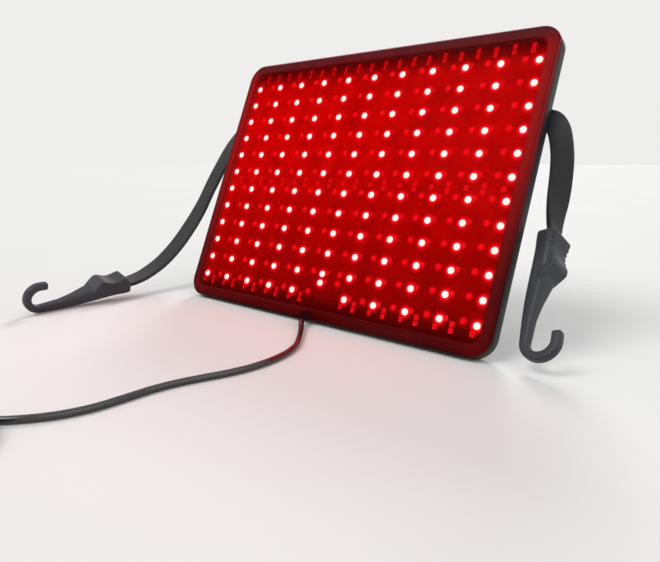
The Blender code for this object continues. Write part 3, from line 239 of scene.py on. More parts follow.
# How wide the floor is, and how far it lies below what stands on it
FLOOR_RADIUS = 14.0
FLOOR_GAP = 0.0002


def size(name, description, default):
    """A length in metres that a user may change."""
    return FloatProperty(name=name, description=description, default=default, min=0.0, precision=5,
                         unit="LENGTH")


def tint(name, description, default):
    """A colour that a user may change."""
    return FloatVectorProperty(name=name, description=description, default=default, min=0.0, max=1.0,
                               size=3, subtype="COLOR")


class HousingSizes(PropertyGroup):
    """Sizes of the panel's case and of what closes it."""

    lean: FloatProperty(name="Lean", description="How far the panel leans back", default=radians(23.3),
                        subtype="ANGLE")
    width: size("Width", "Across the panel's front", 0.3048)
    height: size("Height", "Up the panel's front", 0.2334)
    depth: size("Depth", "From front to back", 0.0120)
    corner: size("Corner radius", "Round of the four corners", 0.0160)
    bezel_depth: size("Bezel depth", "Thickness of the front frame", 0.0024)
    bezel_border: size("Bezel border", "Width of the front frame", 0.0083)
    bezel_lip: size("Bezel lip", "Slope that runs down to the window", 0.0008)
    bezel_edge: size("Bezel edge", "Round of the frame's front edge", 0.0010)
    rim_wall: size("Rim wall", "Thickness of the case's side wall", 0.0066)
    tray_floor: size("Back thickness", "Thickness of the case's back", 0.0020)
    rear_round: size("Rear round", "Round of the case's rear edge", 0.0014)
    seam_round: size("Seam round", "Round of the case's edge behind the frame", 0.0004)
    standing_cut: size("Standing strip", "Depth of the flat strip that it stands on", 0.0015)
    recess_border: size("Recess border", "From the back's edge to its sunk field", 0.0120)
    recess_depth: size("Recess depth", "Depth of the back's sunk field", 0.0006)
    board_front: size("Board depth", "From the front down to the circuit board", 0.0045)
    board_thickness: size("Board thickness", "Thickness of the circuit board", 0.0014)
    notch_width: size("Cable entry width", "Width of the arched notch in the bottom edge", 0.0098)
    notch_height: size("Cable entry height", "Height of the arched notch", 0.0061)
    notch_depth: size("Cable entry depth", "Depth of the arched notch from the front", 0.0086)


class LightSizes(PropertyGroup):
    """The grid of lights and what is soldered round them."""

    columns: IntProperty(name="Columns", description="Lights in a row", default=11, min=2)
    rows: IntProperty(name="Rows", description="Lights in a column", default=12, min=2)
    column_pitch: size("Column pitch", "From one column to the next", 0.02775)
    row_pitch: size("Row pitch", "From one row to the next", 0.01714)
    first_column: size("First column", "From the left side to the first column", 0.0135)
    top_row: size("Top row", "From the top edge to the first row", 0.0234)
    moved_lift: size("Moved light", "How far the light over the cable entry is lifted", 0.0098)
    red_package: size("Red package", "Side of a red light's package", 0.0046)
    red_base: size("Red package height", "Height of a red light's package", 0.0008)
    red_height: size("Red lens height", "Height of a red light with its lens", 0.0017)
    red_lens: size("Red lens", "Radius of a red light's lens", 0.0019)
    infrared_package: size("Infrared package", "Side of an infrared package", 0.0036)
    infrared_height: size("Infrared height", "Height of an infrared package with its lens", 0.0010)
    infrared_offset: size("Infrared offset", "From a red light to the infrared one beside it", 0.0175)
    infrared_lift: size("Infrared lift", "How far an infrared light sits above its row", 0.0014)
    chip_width: size("Resistor width", "Width of a resistor", 0.0016)
    chip_length: size("Resistor length", "Length of a resistor", 0.0030)
    chip_height: size("Resistor height", "Height of a resistor", 0.0007)
    edge_gap: size("Edge gap", "Least room from a resistor to the board's side", 0.0021)
    pad_width: size("Pad width", "Width of the solder pad beside a light", 0.0036)
    pad_length: size("Pad length", "Length of a solder pad", 0.0038)
    pad_aside: size("Pad offset", "From a light to its solder pad", 0.0044)
    pad_lift: size("Pad lift", "How far a solder pad sits above its light", 0.0013)
    chip_pad_width: size("Resistor pad", "Width of the solder pad under a resistor", 0.0034)
    trace_width: size("Trace width", "Width of the trace along a row", 0.0011)
    dot: size("Dot", "Radius of the white spot round a red light", 0.0027)
    halo: size("Halo", "Radius of the bright ring round a red light", 0.0068)


class StrapSizes(PropertyGroup):
    """The elastic strap and its two moulded hooks."""

    width: size("Strap width", "Across the strap", 0.0150)
    thickness: size("Strap thickness", "Through the strap", 0.0040)
    corner: size("Strap corner", "Round of the strap's edges", 0.0012)
    height_on_back: size("Strap height", "From the panel's bottom edge up to the strap", 0.1710)
    lift: size("Strap lift", "Gap between the panel's back and the strap", 0.0012)
    exit: size("Strap exit", "Straight run beside the panel", 0.0060)
    hook_length: size("Hook length", "Length of a hook", 0.0925)
    hook_height: size("Hook height", "Height of a hook at its bend", 0.0270)
    hook_width: size("Hook width", "Width of a hook's box", 0.0210)
    hook_bar: size("Hook bar", "Thickness of the bent bar", 0.0062)
    hook_bar_width: size("Hook bar width", "Width of the bent bar", 0.0066)
    mouth_depth: size("Mouth depth", "How far the strap runs into a hook", 0.0130)
    left_aside: size("Left hook aside", "From the panel's side to the left hook", 0.0426)
    left_forward: size("Left hook forward", "In front of the panel to the left hook", 0.0535)
    left_lift: size("Left hook lift", "Above the floor to the left hook's foot", 0.0011)
    right_turn: size("Right turn", "Behind the panel's right side to where the strap turns", 0.0064)
    saddle_dip: size("Saddle dip", "Hollow of the thumb tab", 0.0020)
    ridge_width: size("Ridge width", "Width of a grip ridge on the thumb tab", 0.0014)
    ridge_rise: size("Ridge rise", "How far a grip ridge stands out of the thumb tab's sides", 0.00055)
    right_aside: size("Right hook aside", "From the panel's side to the right hook", 0.0126)
    right_back: size("Right hook back", "Behind the panel's foot to the right hook", 0.0562)
    right_height: size("Right hook height", "Above the floor to the right hook's box", 0.0770)


class CordSizes(PropertyGroup):
    """The power cord, its coil and its connector."""

    diameter: size("Cord diameter", "Across the cord", 0.0042)
    coil_radius: size("Coil inner radius", "Middle of the innermost turn", 0.0150)
    coil_pitch: size("Coil pitch", "From one turn to the next", 0.0047)
    coil_turns: IntProperty(name="Coil turns", description="Turns in one layer", default=4, min=1)
    relief_length: size("Strain relief", "Length of the taper at the cable entry", 0.0125)
    relief_flare: size("Relief flare", "How far the taper stands out at its thick end", 0.0014)
    relief_rib: size("Relief rib", "Height of the taper's ribs", 0.0003)
    relief_pitch: size("Relief pitch", "From one rib to the next", 0.0019)
    plug_radius: size("Plug radius", "Half the plug's width", 0.0048)
    plug_length: size("Plug length", "Length of the plug's grip", 0.0230)
    plug_relief: size("Plug taper", "Length of the taper behind the plug", 0.0120)
    sleeve_radius: size("Sleeve radius", "Half the contact sleeve's width", 0.00275)
    sleeve_length: size("Sleeve length", "Length of the contact sleeve", 0.0095)
    sleeve_wall: size("Sleeve wall", "Thickness of the contact sleeve", 0.0004)
    sleeve_rim: size("Sleeve rim", "Slope at the sleeve's open end", 0.00012)
    core_radius: size("Core radius", "Half the insulator's width inside the sleeve", 0.0019)
    core_bore: size("Core bore", "Half the width of the hole in the insulator", 0.0011)
    tie_width: size("Tie width", "Width of the tie round the coil", 0.0080)
    tie_thickness: size("Tie thickness", "Thickness of the tie", 0.0009)
    tie_corner: size("Tie corner", "Round of the tie's loop", 0.0034)


class StandSizes(PropertyGroup):
    """The fold-out wire stand."""

    hinge_height: size("Hinge height", "From the panel's bottom edge up to the hinge", 0.1280)
    pivot_lift: size("Pivot lift", "From the panel's back to the hinge axis", 0.0072)
    width: size("Stand width", "Between the two legs", 0.1240)
    wire: size("Wire radius", "Half the wire's thickness", 0.0020)
    leg: size("Leg length", "From the hinge to the foot", 0.1180)
    bend: size("Foot bend", "Bend radius at the foot", 0.0140)
    pin: size("Pin length", "Inturned end in its clip", 0.0150)
    pin_bend: size("Pin bend", "Bend radius at the pin", 0.0030)
    sleeve_length: size("Foot sleeve length", "Length of the rubber foot sleeve", 0.0800)
    sleeve_radius: size("Foot sleeve radius", "Half the foot sleeve's thickness", 0.0036)
    rib: size("Sleeve rib", "Height of the sleeve's ribs", 0.0004)


class PanelColours(PropertyGroup):
    """Colours of the finishes."""

    housing: tint("Case", "Moulded case", (0.014, 0.011, 0.014))
    bezel: tint("Front frame", "Moulded front frame", (0.008, 0.001, 0.002))
    # The window's dark red is painted red light from the lights under the clear sheet
    window: tint("Window", "Clear sheet over the lights", (0.040, 0.001, 0.001))
    board: tint("Board", "Circuit board under the red light", (0.040, 0.001, 0.001))
    light: tint("Red light", "Lens of a red light", (1.000, 0.260, 0.240))
    package: tint("Red package", "Package under the lens of a red light", (1.000, 0.740, 0.720))
    infrared: tint("Infrared light", "Package that hardly glows to a camera", (0.860, 0.003, 0.006))
    infrared_lens: tint("Infrared lens", "Lens on an infrared package", (0.900, 0.004, 0.010))
    lead_positive: tint("Positive lead", "Positive lead in the red light", (0.100, 0.000, 0.000))
    lead_negative: tint("Negative lead", "Negative lead in the red light", (0.075, 0.000, 0.000))
    hook: tint("Hooks", "Moulded hooks", (0.040, 0.042, 0.048))
    strap: tint("Strap", "Elastic strap", (0.026, 0.025, 0.027))
    cord: tint("Cord", "Cord and plug", (0.012, 0.012, 0.012))
    rubber: tint("Rubber", "Gasket, tie and foot sleeve", (0.018, 0.017, 0.018))
    lit_rubber: tint("Lit rubber", "Grommet and strain relief in the red light", (0.022, 0.003, 0.004))
    steel: tint("Steel", "Wire stand and screws", (0.560, 0.560, 0.570))
    nickel: tint("Nickel", "Contact sleeve", (0.720, 0.700, 0.650))
    floor: tint("Floor", "Floor that the panel stands on", (0.800, 0.795, 0.790))
    room: tint("Room", "Pale room behind the panel", (0.860, 0.855, 0.850))
    thrown: tint("Thrown light", "Red light that the panel throws on the floor", (1.000, 0.030, 0.040))


# Places that follow from the sizes


def panel_matrix():
    """The panel's own frame: X across it, Y up it, Z out of its front."""
    housing = bpy.context.scene.housing_sizes
    lean, depth, cut = housing.lean, housing.depth, housing.standing_cut
    strip_front = depth - cut / sin(lean)
    strip_back = cut / cos(lean)
    forward = (strip_front * cos(lean) + strip_back * sin(lean) + depth * cos(lean)) / 2
    foot = Vector((0, -forward, depth * sin(lean) - cut))
    return Matrix.Translation(foot) @ Matrix.Rotation(pi / 2 - lean, 4, "X")


def light_place(column, row):
    """Centre of a red light; the one over the cable entry is lifted clear of it."""
    housing = bpy.context.scene.housing_sizes
    lights = bpy.context.scene.light_sizes
    lift = lights.moved_lift if (column, row) == (MOVED_COLUMN, lights.rows - 1) else 0
    x = -housing.width / 2 + lights.first_column + column * lights.column_pitch
    y = housing.height - lights.top_row - row * lights.row_pitch
    return Vector((x, y + lift, 0))


def light_places():
    lights = bpy.context.scene.light_sizes
    return [light_place(column, row) for column in range(lights.columns) for row in range(lights.rows)]


def infrared_places():
    """Centres of the dim packages, one to the right of each light but for the last column."""
    lights = bpy.context.scene.light_sizes
    aside = Vector((lights.infrared_offset, lights.infrared_lift, 0))
    columns, rows = range(lights.columns - 1), range(lights.rows)
    return [light_place(column, row) + aside for column in columns for row in rows]


def on_board(places, rise=0.0):
    """The same places on the front of the circuit board, or a little above it."""
    level = Vector((0, 0, rise - bpy.context.scene.housing_sizes.board_front))
    return [place + level for place in places]


def node_names(stem, count):
    return ["%s_%d" % (stem, i + 1) for i in range(count)]


def frame_at(origin, x_axis, z_axis):
    x_axis = x_axis.normalized()
    z_axis = (z_axis - z_axis.dot(x_axis) * x_axis).normalized()
    y_axis = z_axis.cross(x_axis)
    return Matrix.Translation(origin) @ Matrix((x_axis, y_axis, z_axis)).transposed().to_4x4()


def pointing(matrix, axis):
    """Where a direction of a placement's own points in the scene."""
    return (matrix.to_3x3() @ Vector(axis)).normalized()


def mouth_height():
    """Middle of a hook's mouth above the hook's foot."""
    return HOOK_MOUTH_SHARE * bpy.context.scene.strap_sizes.hook_height


def hook_places():
    """The left hook lies on the floor in front, the right one hangs beside the panel."""
    housing = bpy.context.scene.housing_sizes
    strap = bpy.context.scene.strap_sizes
    left = Vector((-housing.width / 2 - strap.left_aside, -strap.left_forward, strap.left_lift))
    left_place = frame_at(left, Vector((0, -1, 0)), Vector(LEFT_HOOK_OPEN_SHARES))
    right = Vector((housing.width / 2 + strap.right_aside, strap.right_back, strap.right_height))
    right_place = frame_at(right, Vector(RIGHT_HOOK_AIM_SHARES), Vector(RIGHT_HOOK_OPEN_SHARES))
    return left_place, right_place @ Matrix.Translation((0, 0, -mouth_height()))


def catmull_rom(points, steps):
    """A smooth run through the given points, with the given steps between each two."""
    run = []
    last = len(points) - 1
    for i in range(last):
        before, start, end, after = points[max(i - 1, 0)], points[i], points[i + 1], points[min(i + 2, last)]
        for step in range(steps):
            t = step / steps
            run.append(0.5 * (
                2 * start + (end - before) * t
                + (2 * before - 5 * start + 4 * end - after) * t * t
                + (3 * start - before - 3 * end + after) * t * t * t
            ))
    run.append(points[-1].copy())
    return run


def facing(centre, along, across, wide=1.0, high=1.0):
    """A placement for a flat section: its X across, its Y up and its Z along the run."""
    along = along.normalized()
    across = (across - across.dot(along) * along).normalized()
    up = along.cross(across)
    axes = Matrix((across * wide, up * high, along)).transposed().to_4x4()
    return Matrix.Translation(centre) @ axes


# Shapes made with mesh operators


def moved_face(grown):
    return next(item for item in grown["geom"] if isinstance(item, bmesh.types.BMFace))


def rounded_plate(bm, width, height, corner, segments):
    """One flat rounded rectangle about the origin."""
    verts = bmesh.ops.create_grid(bm, x_segments=1, y_segments=1, size=0.5)["verts"]
    bmesh.ops.scale(bm, vec=(width, height, 1), verts=verts)
    before = set(bm.faces) - {verts[0].link_faces[0]}
    bmesh.ops.bevel(bm, geom=verts, offset=corner, segments=segments, profile=0.5, affect="VERTICES",
                    material=-1)
    return next(item for item in bm.faces if item not in before)


def round_plate(bm, radius, segments):
    """One flat round face about the origin."""
    verts = bmesh.ops.create_circle(bm, cap_ends=True, radius=radius, segments=segments)["verts"]
    return verts[0].link_faces[0]


def raise_face(bm, face, height):
    """Extrudes a face straight up into a block and gives its top."""
    top = moved_face(bmesh.ops.extrude_face_region(bm, geom=[face]))
    bmesh.ops.translate(bm, vec=(0, 0, height), verts=list(top.verts))
    return top


def slab(bm, inset, low, high, segments):
    """A block with the panel's rounded outline, drawn in by an inset, from one level up to another."""
    housing = bpy.context.scene.housing_sizes
    wide, tall = housing.width - 2 * inset, housing.height - 2 * inset
    plate = rounded_plate(bm, wide, tall, housing.corner - inset, segments)
    bmesh.ops.translate(bm, vec=(0, housing.height / 2, low), verts=bm.verts)
    raise_face(bm, plate, high - low)


def round_edges(bm, edges, offset, segments):
    bmesh.ops.bevel(bm, geom=list(edges), offset=offset, offset_type="OFFSET", segments=segments,
                    profile=0.5, affect="EDGES", material=-1)


def widest_face(bm, level, other_than=None):
    """The largest face that lies flat at a level."""
    flat = [face for face in bm.faces if face is not other_than
            and all(abs(vert.co.z - level) < LEVEL_SLACK for vert in face.verts)]
    return max(flat, key=lambda face: face.calc_area())


def step_in(bm, face, inset, drop):
    """Draws a face in by an inset and moves it along its normal by a negative or positive drop."""
    bmesh.ops.recalc_face_normals(bm, faces=bm.faces)
    bmesh.ops.inset_region(bm, faces=[face], thickness=inset, depth=drop, use_even_offset=True)
    return face


def block(bm, wide, high, deep, centre, edge=0.0, segments=1):
    """A box about a centre with rounded edges."""
    verts = bmesh.ops.create_cube(bm, size=1.0)["verts"]
    bmesh.ops.scale(bm, vec=(wide, high, deep), verts=verts)
    bmesh.ops.translate(bm, vec=centre, verts=verts)
    if edge:
        edges = {edge_line for vert in verts for edge_line in vert.link_edges}
        round_edges(bm, edges, edge, segments)


def turn(bm, stations, steps, axis=(0, 0, 1)):
    """Spins a profile of radius and height about Z into a closed solid."""
    points = [bm.verts.new((radius, 0, height)) for radius, height in stations]
    edges = [bm.edges.new(pair) for pair in zip(points, points[1:])]
    bmesh.ops.spin(bm, geom=points + edges, cent=(0, 0, 0), axis=axis, angle=tau, steps=steps, use_merge=True)
    bmesh.ops.remove_doubles(bm, verts=bm.verts, dist=1e-7)


def sweep(bm, face, placements, distances=None, along_layer=None):
    """Draws a flat section through the placements by extruding it from each to the next."""
    bmesh.ops.transform(bm, matrix=placements[0], verts=list(face.verts))
    for i in range(1, len(placements)):
        before, face = face, moved_face(bmesh.ops.extrude_face_region(bm, geom=[face]))
        # The very first face closes the start, while the later ones would be left inside
        if i > 1:
            bmesh.ops.delete(bm, geom=[before], context="FACES_ONLY")
        verts = list(face.verts)
        bmesh.ops.transform(bm, matrix=placements[i] @ placements[i - 1].inverted(), verts=verts)
        if along_layer is not None:
            for vert in verts:
                vert[along_layer] = distances[i]
    return face


def scatter(bm, places, turns=None):
    """Repeats what the bmesh holds so far at each place; the first place takes the original."""
    first = list(bm.verts) + list(bm.edges) + list(bm.faces)
    copies = [bmesh.ops.duplicate(bm, geom=first)["geom"] for _ in places[1:]]
    for i, (geometry, place) in enumerate(zip([first] + copies, places)):
        verts = [item for item in geometry if isinstance(item, bmesh.types.BMVert)]
        if turns is not None:
            bmesh.ops.rotate(bm, cent=(0, 0, 0), matrix=Matrix.Rotation(turns[i], 3, "Z"), verts=verts)
        bmesh.ops.translate(bm, vec=place, verts=verts)


def piece(name, bm, finishes, body="panel", place=None, angle=35, recalculate=True):
    """Turns a bmesh into a finished piece that rides on its body."""
    if place is not None:
        bmesh.ops.transform(bm, matrix=place, verts=bm.verts)
    if recalculate:
        bmesh.ops.recalc_face_normals(bm, faces=bm.faces)
    mesh = bpy.data.meshes.new(name)
    bm.to_mesh(mesh)
    bm.free()
    for finish in finishes:
        mesh.materials.append(finish)
    item = bpy.data.objects.new(name, mesh)
    bpy.context.collection.objects.link(item)
    mesh.shade_smooth()
    mesh.set_sharp_from_angle(angle=radians(angle))
    if body:
        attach(item, body)
    return item


def settle(item):
    """Bakes an object's modifiers into its mesh."""
    graph = bpy.context.evaluated_depsgraph_get()
    made = bpy.data.meshes.new_from_object(item.evaluated_get(graph))
    item.modifiers.clear()
    item.data = made


def screw_seat(node):
    """Where a screw's head sits in the panel's own frame, with the head's radius and height."""
    turned_back = panel_matrix().inverted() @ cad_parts[node].matrix_world
    corners = [turned_back @ vert.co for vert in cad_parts[node].data.vertices]
    low = Vector([min(corner[i] for corner in corners) for i in range(3)])
    high = Vector([max(corner[i] for corner in corners) for i in range(3)])
    radius = (high.x - low.x) / 2
    thick = min(high.z - low.z, radius * HEAD_HEIGHT_SHARE)
    return Vector(((low.x + high.x) / 2, (low.y + high.y) / 2, low.z + thick)), radius, thick


def carve(item, cutter):
    """Cuts one solid out of a piece and takes the cutter away."""
    step = item.modifiers.new("carve", "BOOLEAN")
    step.operation = "DIFFERENCE"
    step.solver = "EXACT"
    step.object = cutter
    settle(item)
    bpy.data.objects.remove(cutter, do_unlink=True)


def mould(item, voxel, passes):
    """Melts overlapping solids into one and softens its edges, as a mould leaves them."""
    remesh = item.modifiers.new("mould", "REMESH")
    remesh.mode = "VOXEL"
    remesh.voxel_size = voxel
    soften = item.modifiers.new("soften", "SMOOTH")
    soften.factor = 0.5
    soften.iterations = passes
    settle(item)
    item.data.shade_smooth()


# Finishes made of shader nodes


def start_finish(name, colour, roughness, metallic=0.0, gloss=0.5, glow=0.0):
    """A new material; what is even all over it is set on the shader itself."""
    made = bpy.data.materials.new(name)
    made.use_nodes = True
    made.diffuse_color = (*colour, 1.0)
    shader = made.node_tree.nodes["Principled BSDF"]
    even = {"Base Color": (*colour, 1.0), "Roughness": roughness, "Metallic": metallic,
            "Specular IOR Level": gloss, "Emission Strength": glow}
    for socket, value in even.items():
        shader.inputs[socket].default_value = value
    return made.node_tree, shader


def work_out(tree, operation, first, second=None, third=None):
    """A math node whose inputs are numbers or other nodes' outputs."""
    made = tree.nodes.new("ShaderNodeMath")
    made.operation = operation
    for socket, value in zip(made.inputs, (first, second, third)):
        if isinstance(value, (int, float)):
            socket.default_value = value
        elif value is not None:
            tree.links.new(value, socket)
    return made.outputs[0]


def spread_value(tree, value, low, high, from_low=0.0, from_high=1.0):
    """Carries a varying value over to another range."""
    made = tree.nodes.new("ShaderNodeMapRange")
    made.inputs["From Min"].default_value = from_low
    made.inputs["From Max"].default_value = from_high
    made.inputs["To Min"].default_value = low
    made.inputs["To Max"].default_value = high
    tree.links.new(value, made.inputs["Value"])
    return made.outputs[0]


def ramp(tree, value, stops):
    """A colour ramp through stops of place and colour."""
    made = tree.nodes.new("ShaderNodeValToRGB")
    colours = made.color_ramp.elements
    while len(colours) < len(stops):
        colours.new(0.5)
    for slot, (place, colour) in zip(colours, stops):
        slot.position = place
        slot.color = (*colour, 1.0)
    tree.links.new(value, made.inputs["Fac"])
    return made.outputs["Color"]


def mixed(tree, blend, factor, first, second):
    """A colour mix whose inputs are colours or other nodes' outputs."""
    made = tree.nodes.new("ShaderNodeMix")
    made.data_type = "RGBA"
    made.blend_type = blend
    for socket, value in ((made.inputs[0], factor), (made.inputs[6], first), (made.inputs[7], second)):
        if isinstance(value, (int, float)):
            socket.default_value = value
        elif isinstance(value, tuple):
            socket.default_value = (*value, 1.0)
        else:
            tree.links.new(value, socket)
    return made.outputs[2]


def object_place(tree):
    return tree.nodes.new("ShaderNodeTexCoord").outputs["Object"]


def panel_place(tree):
    """Object coordinates turned into the panel's own: X across, Y up it, Z out of its front."""
    mapping = tree.nodes.new("ShaderNodeMapping")
    mapping.vector_type = "TEXTURE"
    mapping.inputs["Location"].default_value = panel_matrix().translation
    mapping.inputs["Rotation"].default_value = panel_matrix().to_euler()
    tree.links.new(object_place(tree), mapping.inputs["Vector"])
    return mapping.outputs["Vector"]


def noise(tree, place, scale, detail=3.0, roughness=0.55):
    made = tree.nodes.new("ShaderNodeTexNoise")
    made.inputs["Scale"].default_value = scale
    made.inputs["Detail"].default_value = detail
    made.inputs["Roughness"].default_value = roughness
    tree.links.new(place, made.inputs["Vector"])
    return made.outputs["Fac"]


def raised(tree, shader, height, strength, distance):
    """Bump from a varying height; distance is in metres."""
    made = tree.nodes.new("ShaderNodeBump")
    made.inputs["Strength"].default_value = strength
    made.inputs["Distance"].default_value = distance
    tree.links.new(height, made.inputs["Height"])
    tree.links.new(made.outputs["Normal"], shader.inputs["Normal"])


def painted(tree, name):
    """A number that the mesh carries at its vertices."""
    made = tree.nodes.new("ShaderNodeAttribute")
    made.attribute_name = name
    return made.outputs["Fac"]


def scaled(colour, share):
    return tuple(min(channel * share, 1.0) for channel in colour)


def chosen(name):
    """A colour of the user's choice."""
    return tuple(getattr(bpy.context.scene.panel_colours, name))


def vary_colour(tree, shader, value, colour, shares, places=(0.3, 0.7), socket="Base Color"):
    """Lets a colour follow a varying value from a darker to a lighter share of itself."""
    stops = [(place, scaled(colour, share)) for place, share in zip(places, shares)]
    tree.links.new(ramp(tree, value, stops), shader.inputs[socket])


def vary(tree, shader, socket, value, low, high, from_low=0.0, from_high=1.0):
    """Lets a number of the shader follow a varying value."""
    tree.links.new(spread_value(tree, value, low, high, from_low, from_high), shader.inputs[socket])


def moulded_finish(name, colour, roughness=0.42, grain=2600.0, depth=0.00006, spread=0.18, gloss=0.25):
    """Fine-grained moulded plastic with slightly uneven colour and gloss."""
    tree, shader = start_finish(name, colour, roughness, gloss=gloss)
    place = object_place(tree)
    patches = noise(tree, place, 38.0, 4.0)
    vary_colour(tree, shader, patches, colour, (1 - spread, 1 + spread))
    vary(tree, shader, "Roughness", patches, roughness - 0.06, roughness + 0.08)
    raised(tree, shader, noise(tree, place, grain, 2.0), 0.35, depth)


def rubber_finish(name, colour, roughness=0.62):
    """Matt rubber with a faint bloom."""
    tree, shader = start_finish(name, colour, roughness, gloss=0.25)
    place = object_place(tree)
    bloom = noise(tree, place, 120.0, 5.0, 0.6)
    vary_colour(tree, shader, bloom, colour, (0.8, 1.5), (0.35, 0.75))
    vary(tree, shader, "Roughness", bloom, roughness - 0.08, roughness + 0.12)
    raised(tree, shader, noise(tree, place, 1800.0, 3.0), 0.3, 0.00005)


def metal_finish(name, colour, roughness=0.26):
    """Plated metal with fine drawing marks and a few dull spots."""
    tree, shader = start_finish(name, colour, roughness, metallic=1.0)
    place = object_place(tree)
    marks = noise(tree, place, 900.0, 6.0, 0.7)
    vary_colour(tree, shader, noise(tree, place, 60.0, 3.0), colour, (0.88, 1.06))
    vary(tree, shader, "Roughness", marks, roughness - 0.04, roughness + 0.08)
    raised(tree, shader, marks, 0.06, 0.00003)


def edge_distance(tree, place, side_share=1.0):
    """How far a place on the panel's front lies inside its outline; the sides can count for more."""
    housing = bpy.context.scene.housing_sizes
    parts = tree.nodes.new("ShaderNodeSeparateXYZ")
    tree.links.new(place, parts.inputs[0])
    half_width, half_height = housing.width / 2, housing.height / 2
    from_side = work_out(tree, "SUBTRACT", half_width, work_out(tree, "ABSOLUTE", parts.outputs["X"]))
    middle = work_out(tree, "SUBTRACT", parts.outputs["Y"], half_height)
    from_top = work_out(tree, "SUBTRACT", half_height, work_out(tree, "ABSOLUTE", middle))
    counted = work_out(tree, "MULTIPLY", from_side, side_share)
    return work_out(tree, "SMOOTH_MIN", counted, from_top, CORNER_BLEND), parts


def glow_colour(tree, reach, stops, side_share=1.0, foot_level=0.9):
    """The red light's colour by distance from the outline, dimmer towards the right and the foot."""
    place = panel_place(tree)
    inside, parts = edge_distance(tree, place, side_share)
    field = ramp(tree, spread_value(tree, inside, 0.0, 1.0, 0.0, reach), stops)
    housing = bpy.context.scene.housing_sizes
    across = spread_value(tree, parts.outputs["X"], 1.08, 0.86, -housing.width / 2, housing.width / 2)
    up = spread_value(tree, parts.outputs["Y"], foot_level, 1.10, 0.0, housing.height * 0.6)
    level = work_out(tree, "MULTIPLY", across, up)
    cloud = spread_value(tree, noise(tree, place, 60.0, 3.0, 0.6), 0.74, 1.20, 0.3, 0.7)
    level = work_out(tree, "MULTIPLY", level, cloud)
    grey = tree.nodes.new("ShaderNodeCombineColor")
    for channel in grey.inputs:
        tree.links.new(level, channel)
    return mixed(tree, "MULTIPLY", 1.0, field, grey.outputs[0]), place


# The lit field, by distance from the panel's outline; its sides count for more, and its foot is dimmer
FIELD_REACH = 0.050
FIELD_STOPS = (
    (0.00, (0.050, 0.000, 0.000)),
    (0.20, (0.090, 0.000, 0.000)),
    (0.30, (0.170, 0.000, 0.000)),
    (0.42, (0.360, 0.000, 0.000)),
    (0.55, (0.470, 0.000, 0.000)),
    (1.00, (0.510, 0.000, 0.000)),
)
SIDE_SHARE = 2.4
FIELD_FOOT = 0.45
# How wide a stretch of the corners is rounded off in that distance, in metres
CORNER_BLEND = 0.012
# Rings and pads on the board, by the glow that their vertices carry
RING_STOPS = (
    (0.00, (0.600, 0.001, 0.002)),
    (0.35, (0.960, 0.003, 0.008)),
    (0.50, (1.000, 0.010, 0.022)),
    (0.68, (1.000, 0.090, 0.120)),
    (1.00, (1.000, 0.900, 0.860)),
)
# Painted red light on the front frame, by distance from its outline
FRAME_GLOW_STOPS = (
    (0.00, (0.024, 0.000, 0.000)),
    (0.12, (0.045, 0.000, 0.000)),
    (0.40, (0.074, 0.000, 0.000)),
    (1.00, (0.100, 0.000, 0.000)),
)
SIDE_GLOW = (0.200, 0.000, 0.000)
# Greyer painted sheen on the frame's top bar, by distance from its edge
PAINTED_SHEEN_STOPS = (
    (0.00, (0.014, 0.007, 0.010)),
    (0.60, (0.008, 0.003, 0.006)),
    (1.00, (0.000, 0.000, 0.000)),
)
# Painted highlight: a thin line on the frame's outer round, by distance from the outline
RIM_HIGHLIGHT_STOPS = (
    (0.02, (0.000, 0.000, 0.000)),
    (0.04, (0.110, 0.035, 0.045)),
    (0.08, (0.110, 0.035, 0.045)),
    (0.11, (0.000, 0.000, 0.000)),
)
# Painted highlight: a bright line along the frame's top edge, by distance from it
TOP_HIGHLIGHT_STOPS = (
    (0.00, (0.000, 0.000, 0.000)),
    (0.03, (0.420, 0.190, 0.220)),
    (0.12, (0.420, 0.190, 0.220)),
    (0.16, (0.000, 0.000, 0.000)),
)


def board_finish():
    """Circuit board flooded with red light, with bright rings where the vertices say so."""
    tree, shader = start_finish("lit_board", chosen("board"), 0.5, gloss=0.0, glow=1.0)
    field, place = glow_colour(tree, FIELD_REACH, FIELD_STOPS, SIDE_SHARE, FIELD_FOOT)
    glow = painted(tree, "glow")
    share = work_out(tree, "MINIMUM", work_out(tree, "MULTIPLY", glow, 2.2), 1.0)
    lit = mixed(tree, "MIX", share, field, ramp(tree, glow, RING_STOPS))
    tree.links.new(lit, shader.inputs["Emission Color"])
    raised(tree, shader, noise(tree, place, 900.0, 2.0), 0.2, 0.00004)


def side_light(tree, parts, reach):
    """The red light on the frame's two sides, which are nearer to the lights than its top and foot."""
    housing = bpy.context.scene.housing_sizes
    high = housing.height
    from_side = work_out(tree, "SUBTRACT", housing.width / 2, work_out(tree, "ABSOLUTE", parts.outputs["X"]))
    amount = spread_value(tree, from_side, 0.35, 1.0, 0.0, 0.55 * reach)
    for share in (spread_value(tree, from_side, 1.0, 0.0, 1.2 * reach, 2.4 * reach),
                  spread_value(tree, parts.outputs["Y"], 0.1, 1.0, 0.22 * high, 0.60 * high),
                  spread_value(tree, parts.outputs["Y"], 1.0, 0.0, 0.92 * high, 0.98 * high)):
        amount = work_out(tree, "MULTIPLY", amount, share)
    return ramp(tree, amount, ((0.0, (0.0, 0.0, 0.0)), (1.0, SIDE_GLOW)))


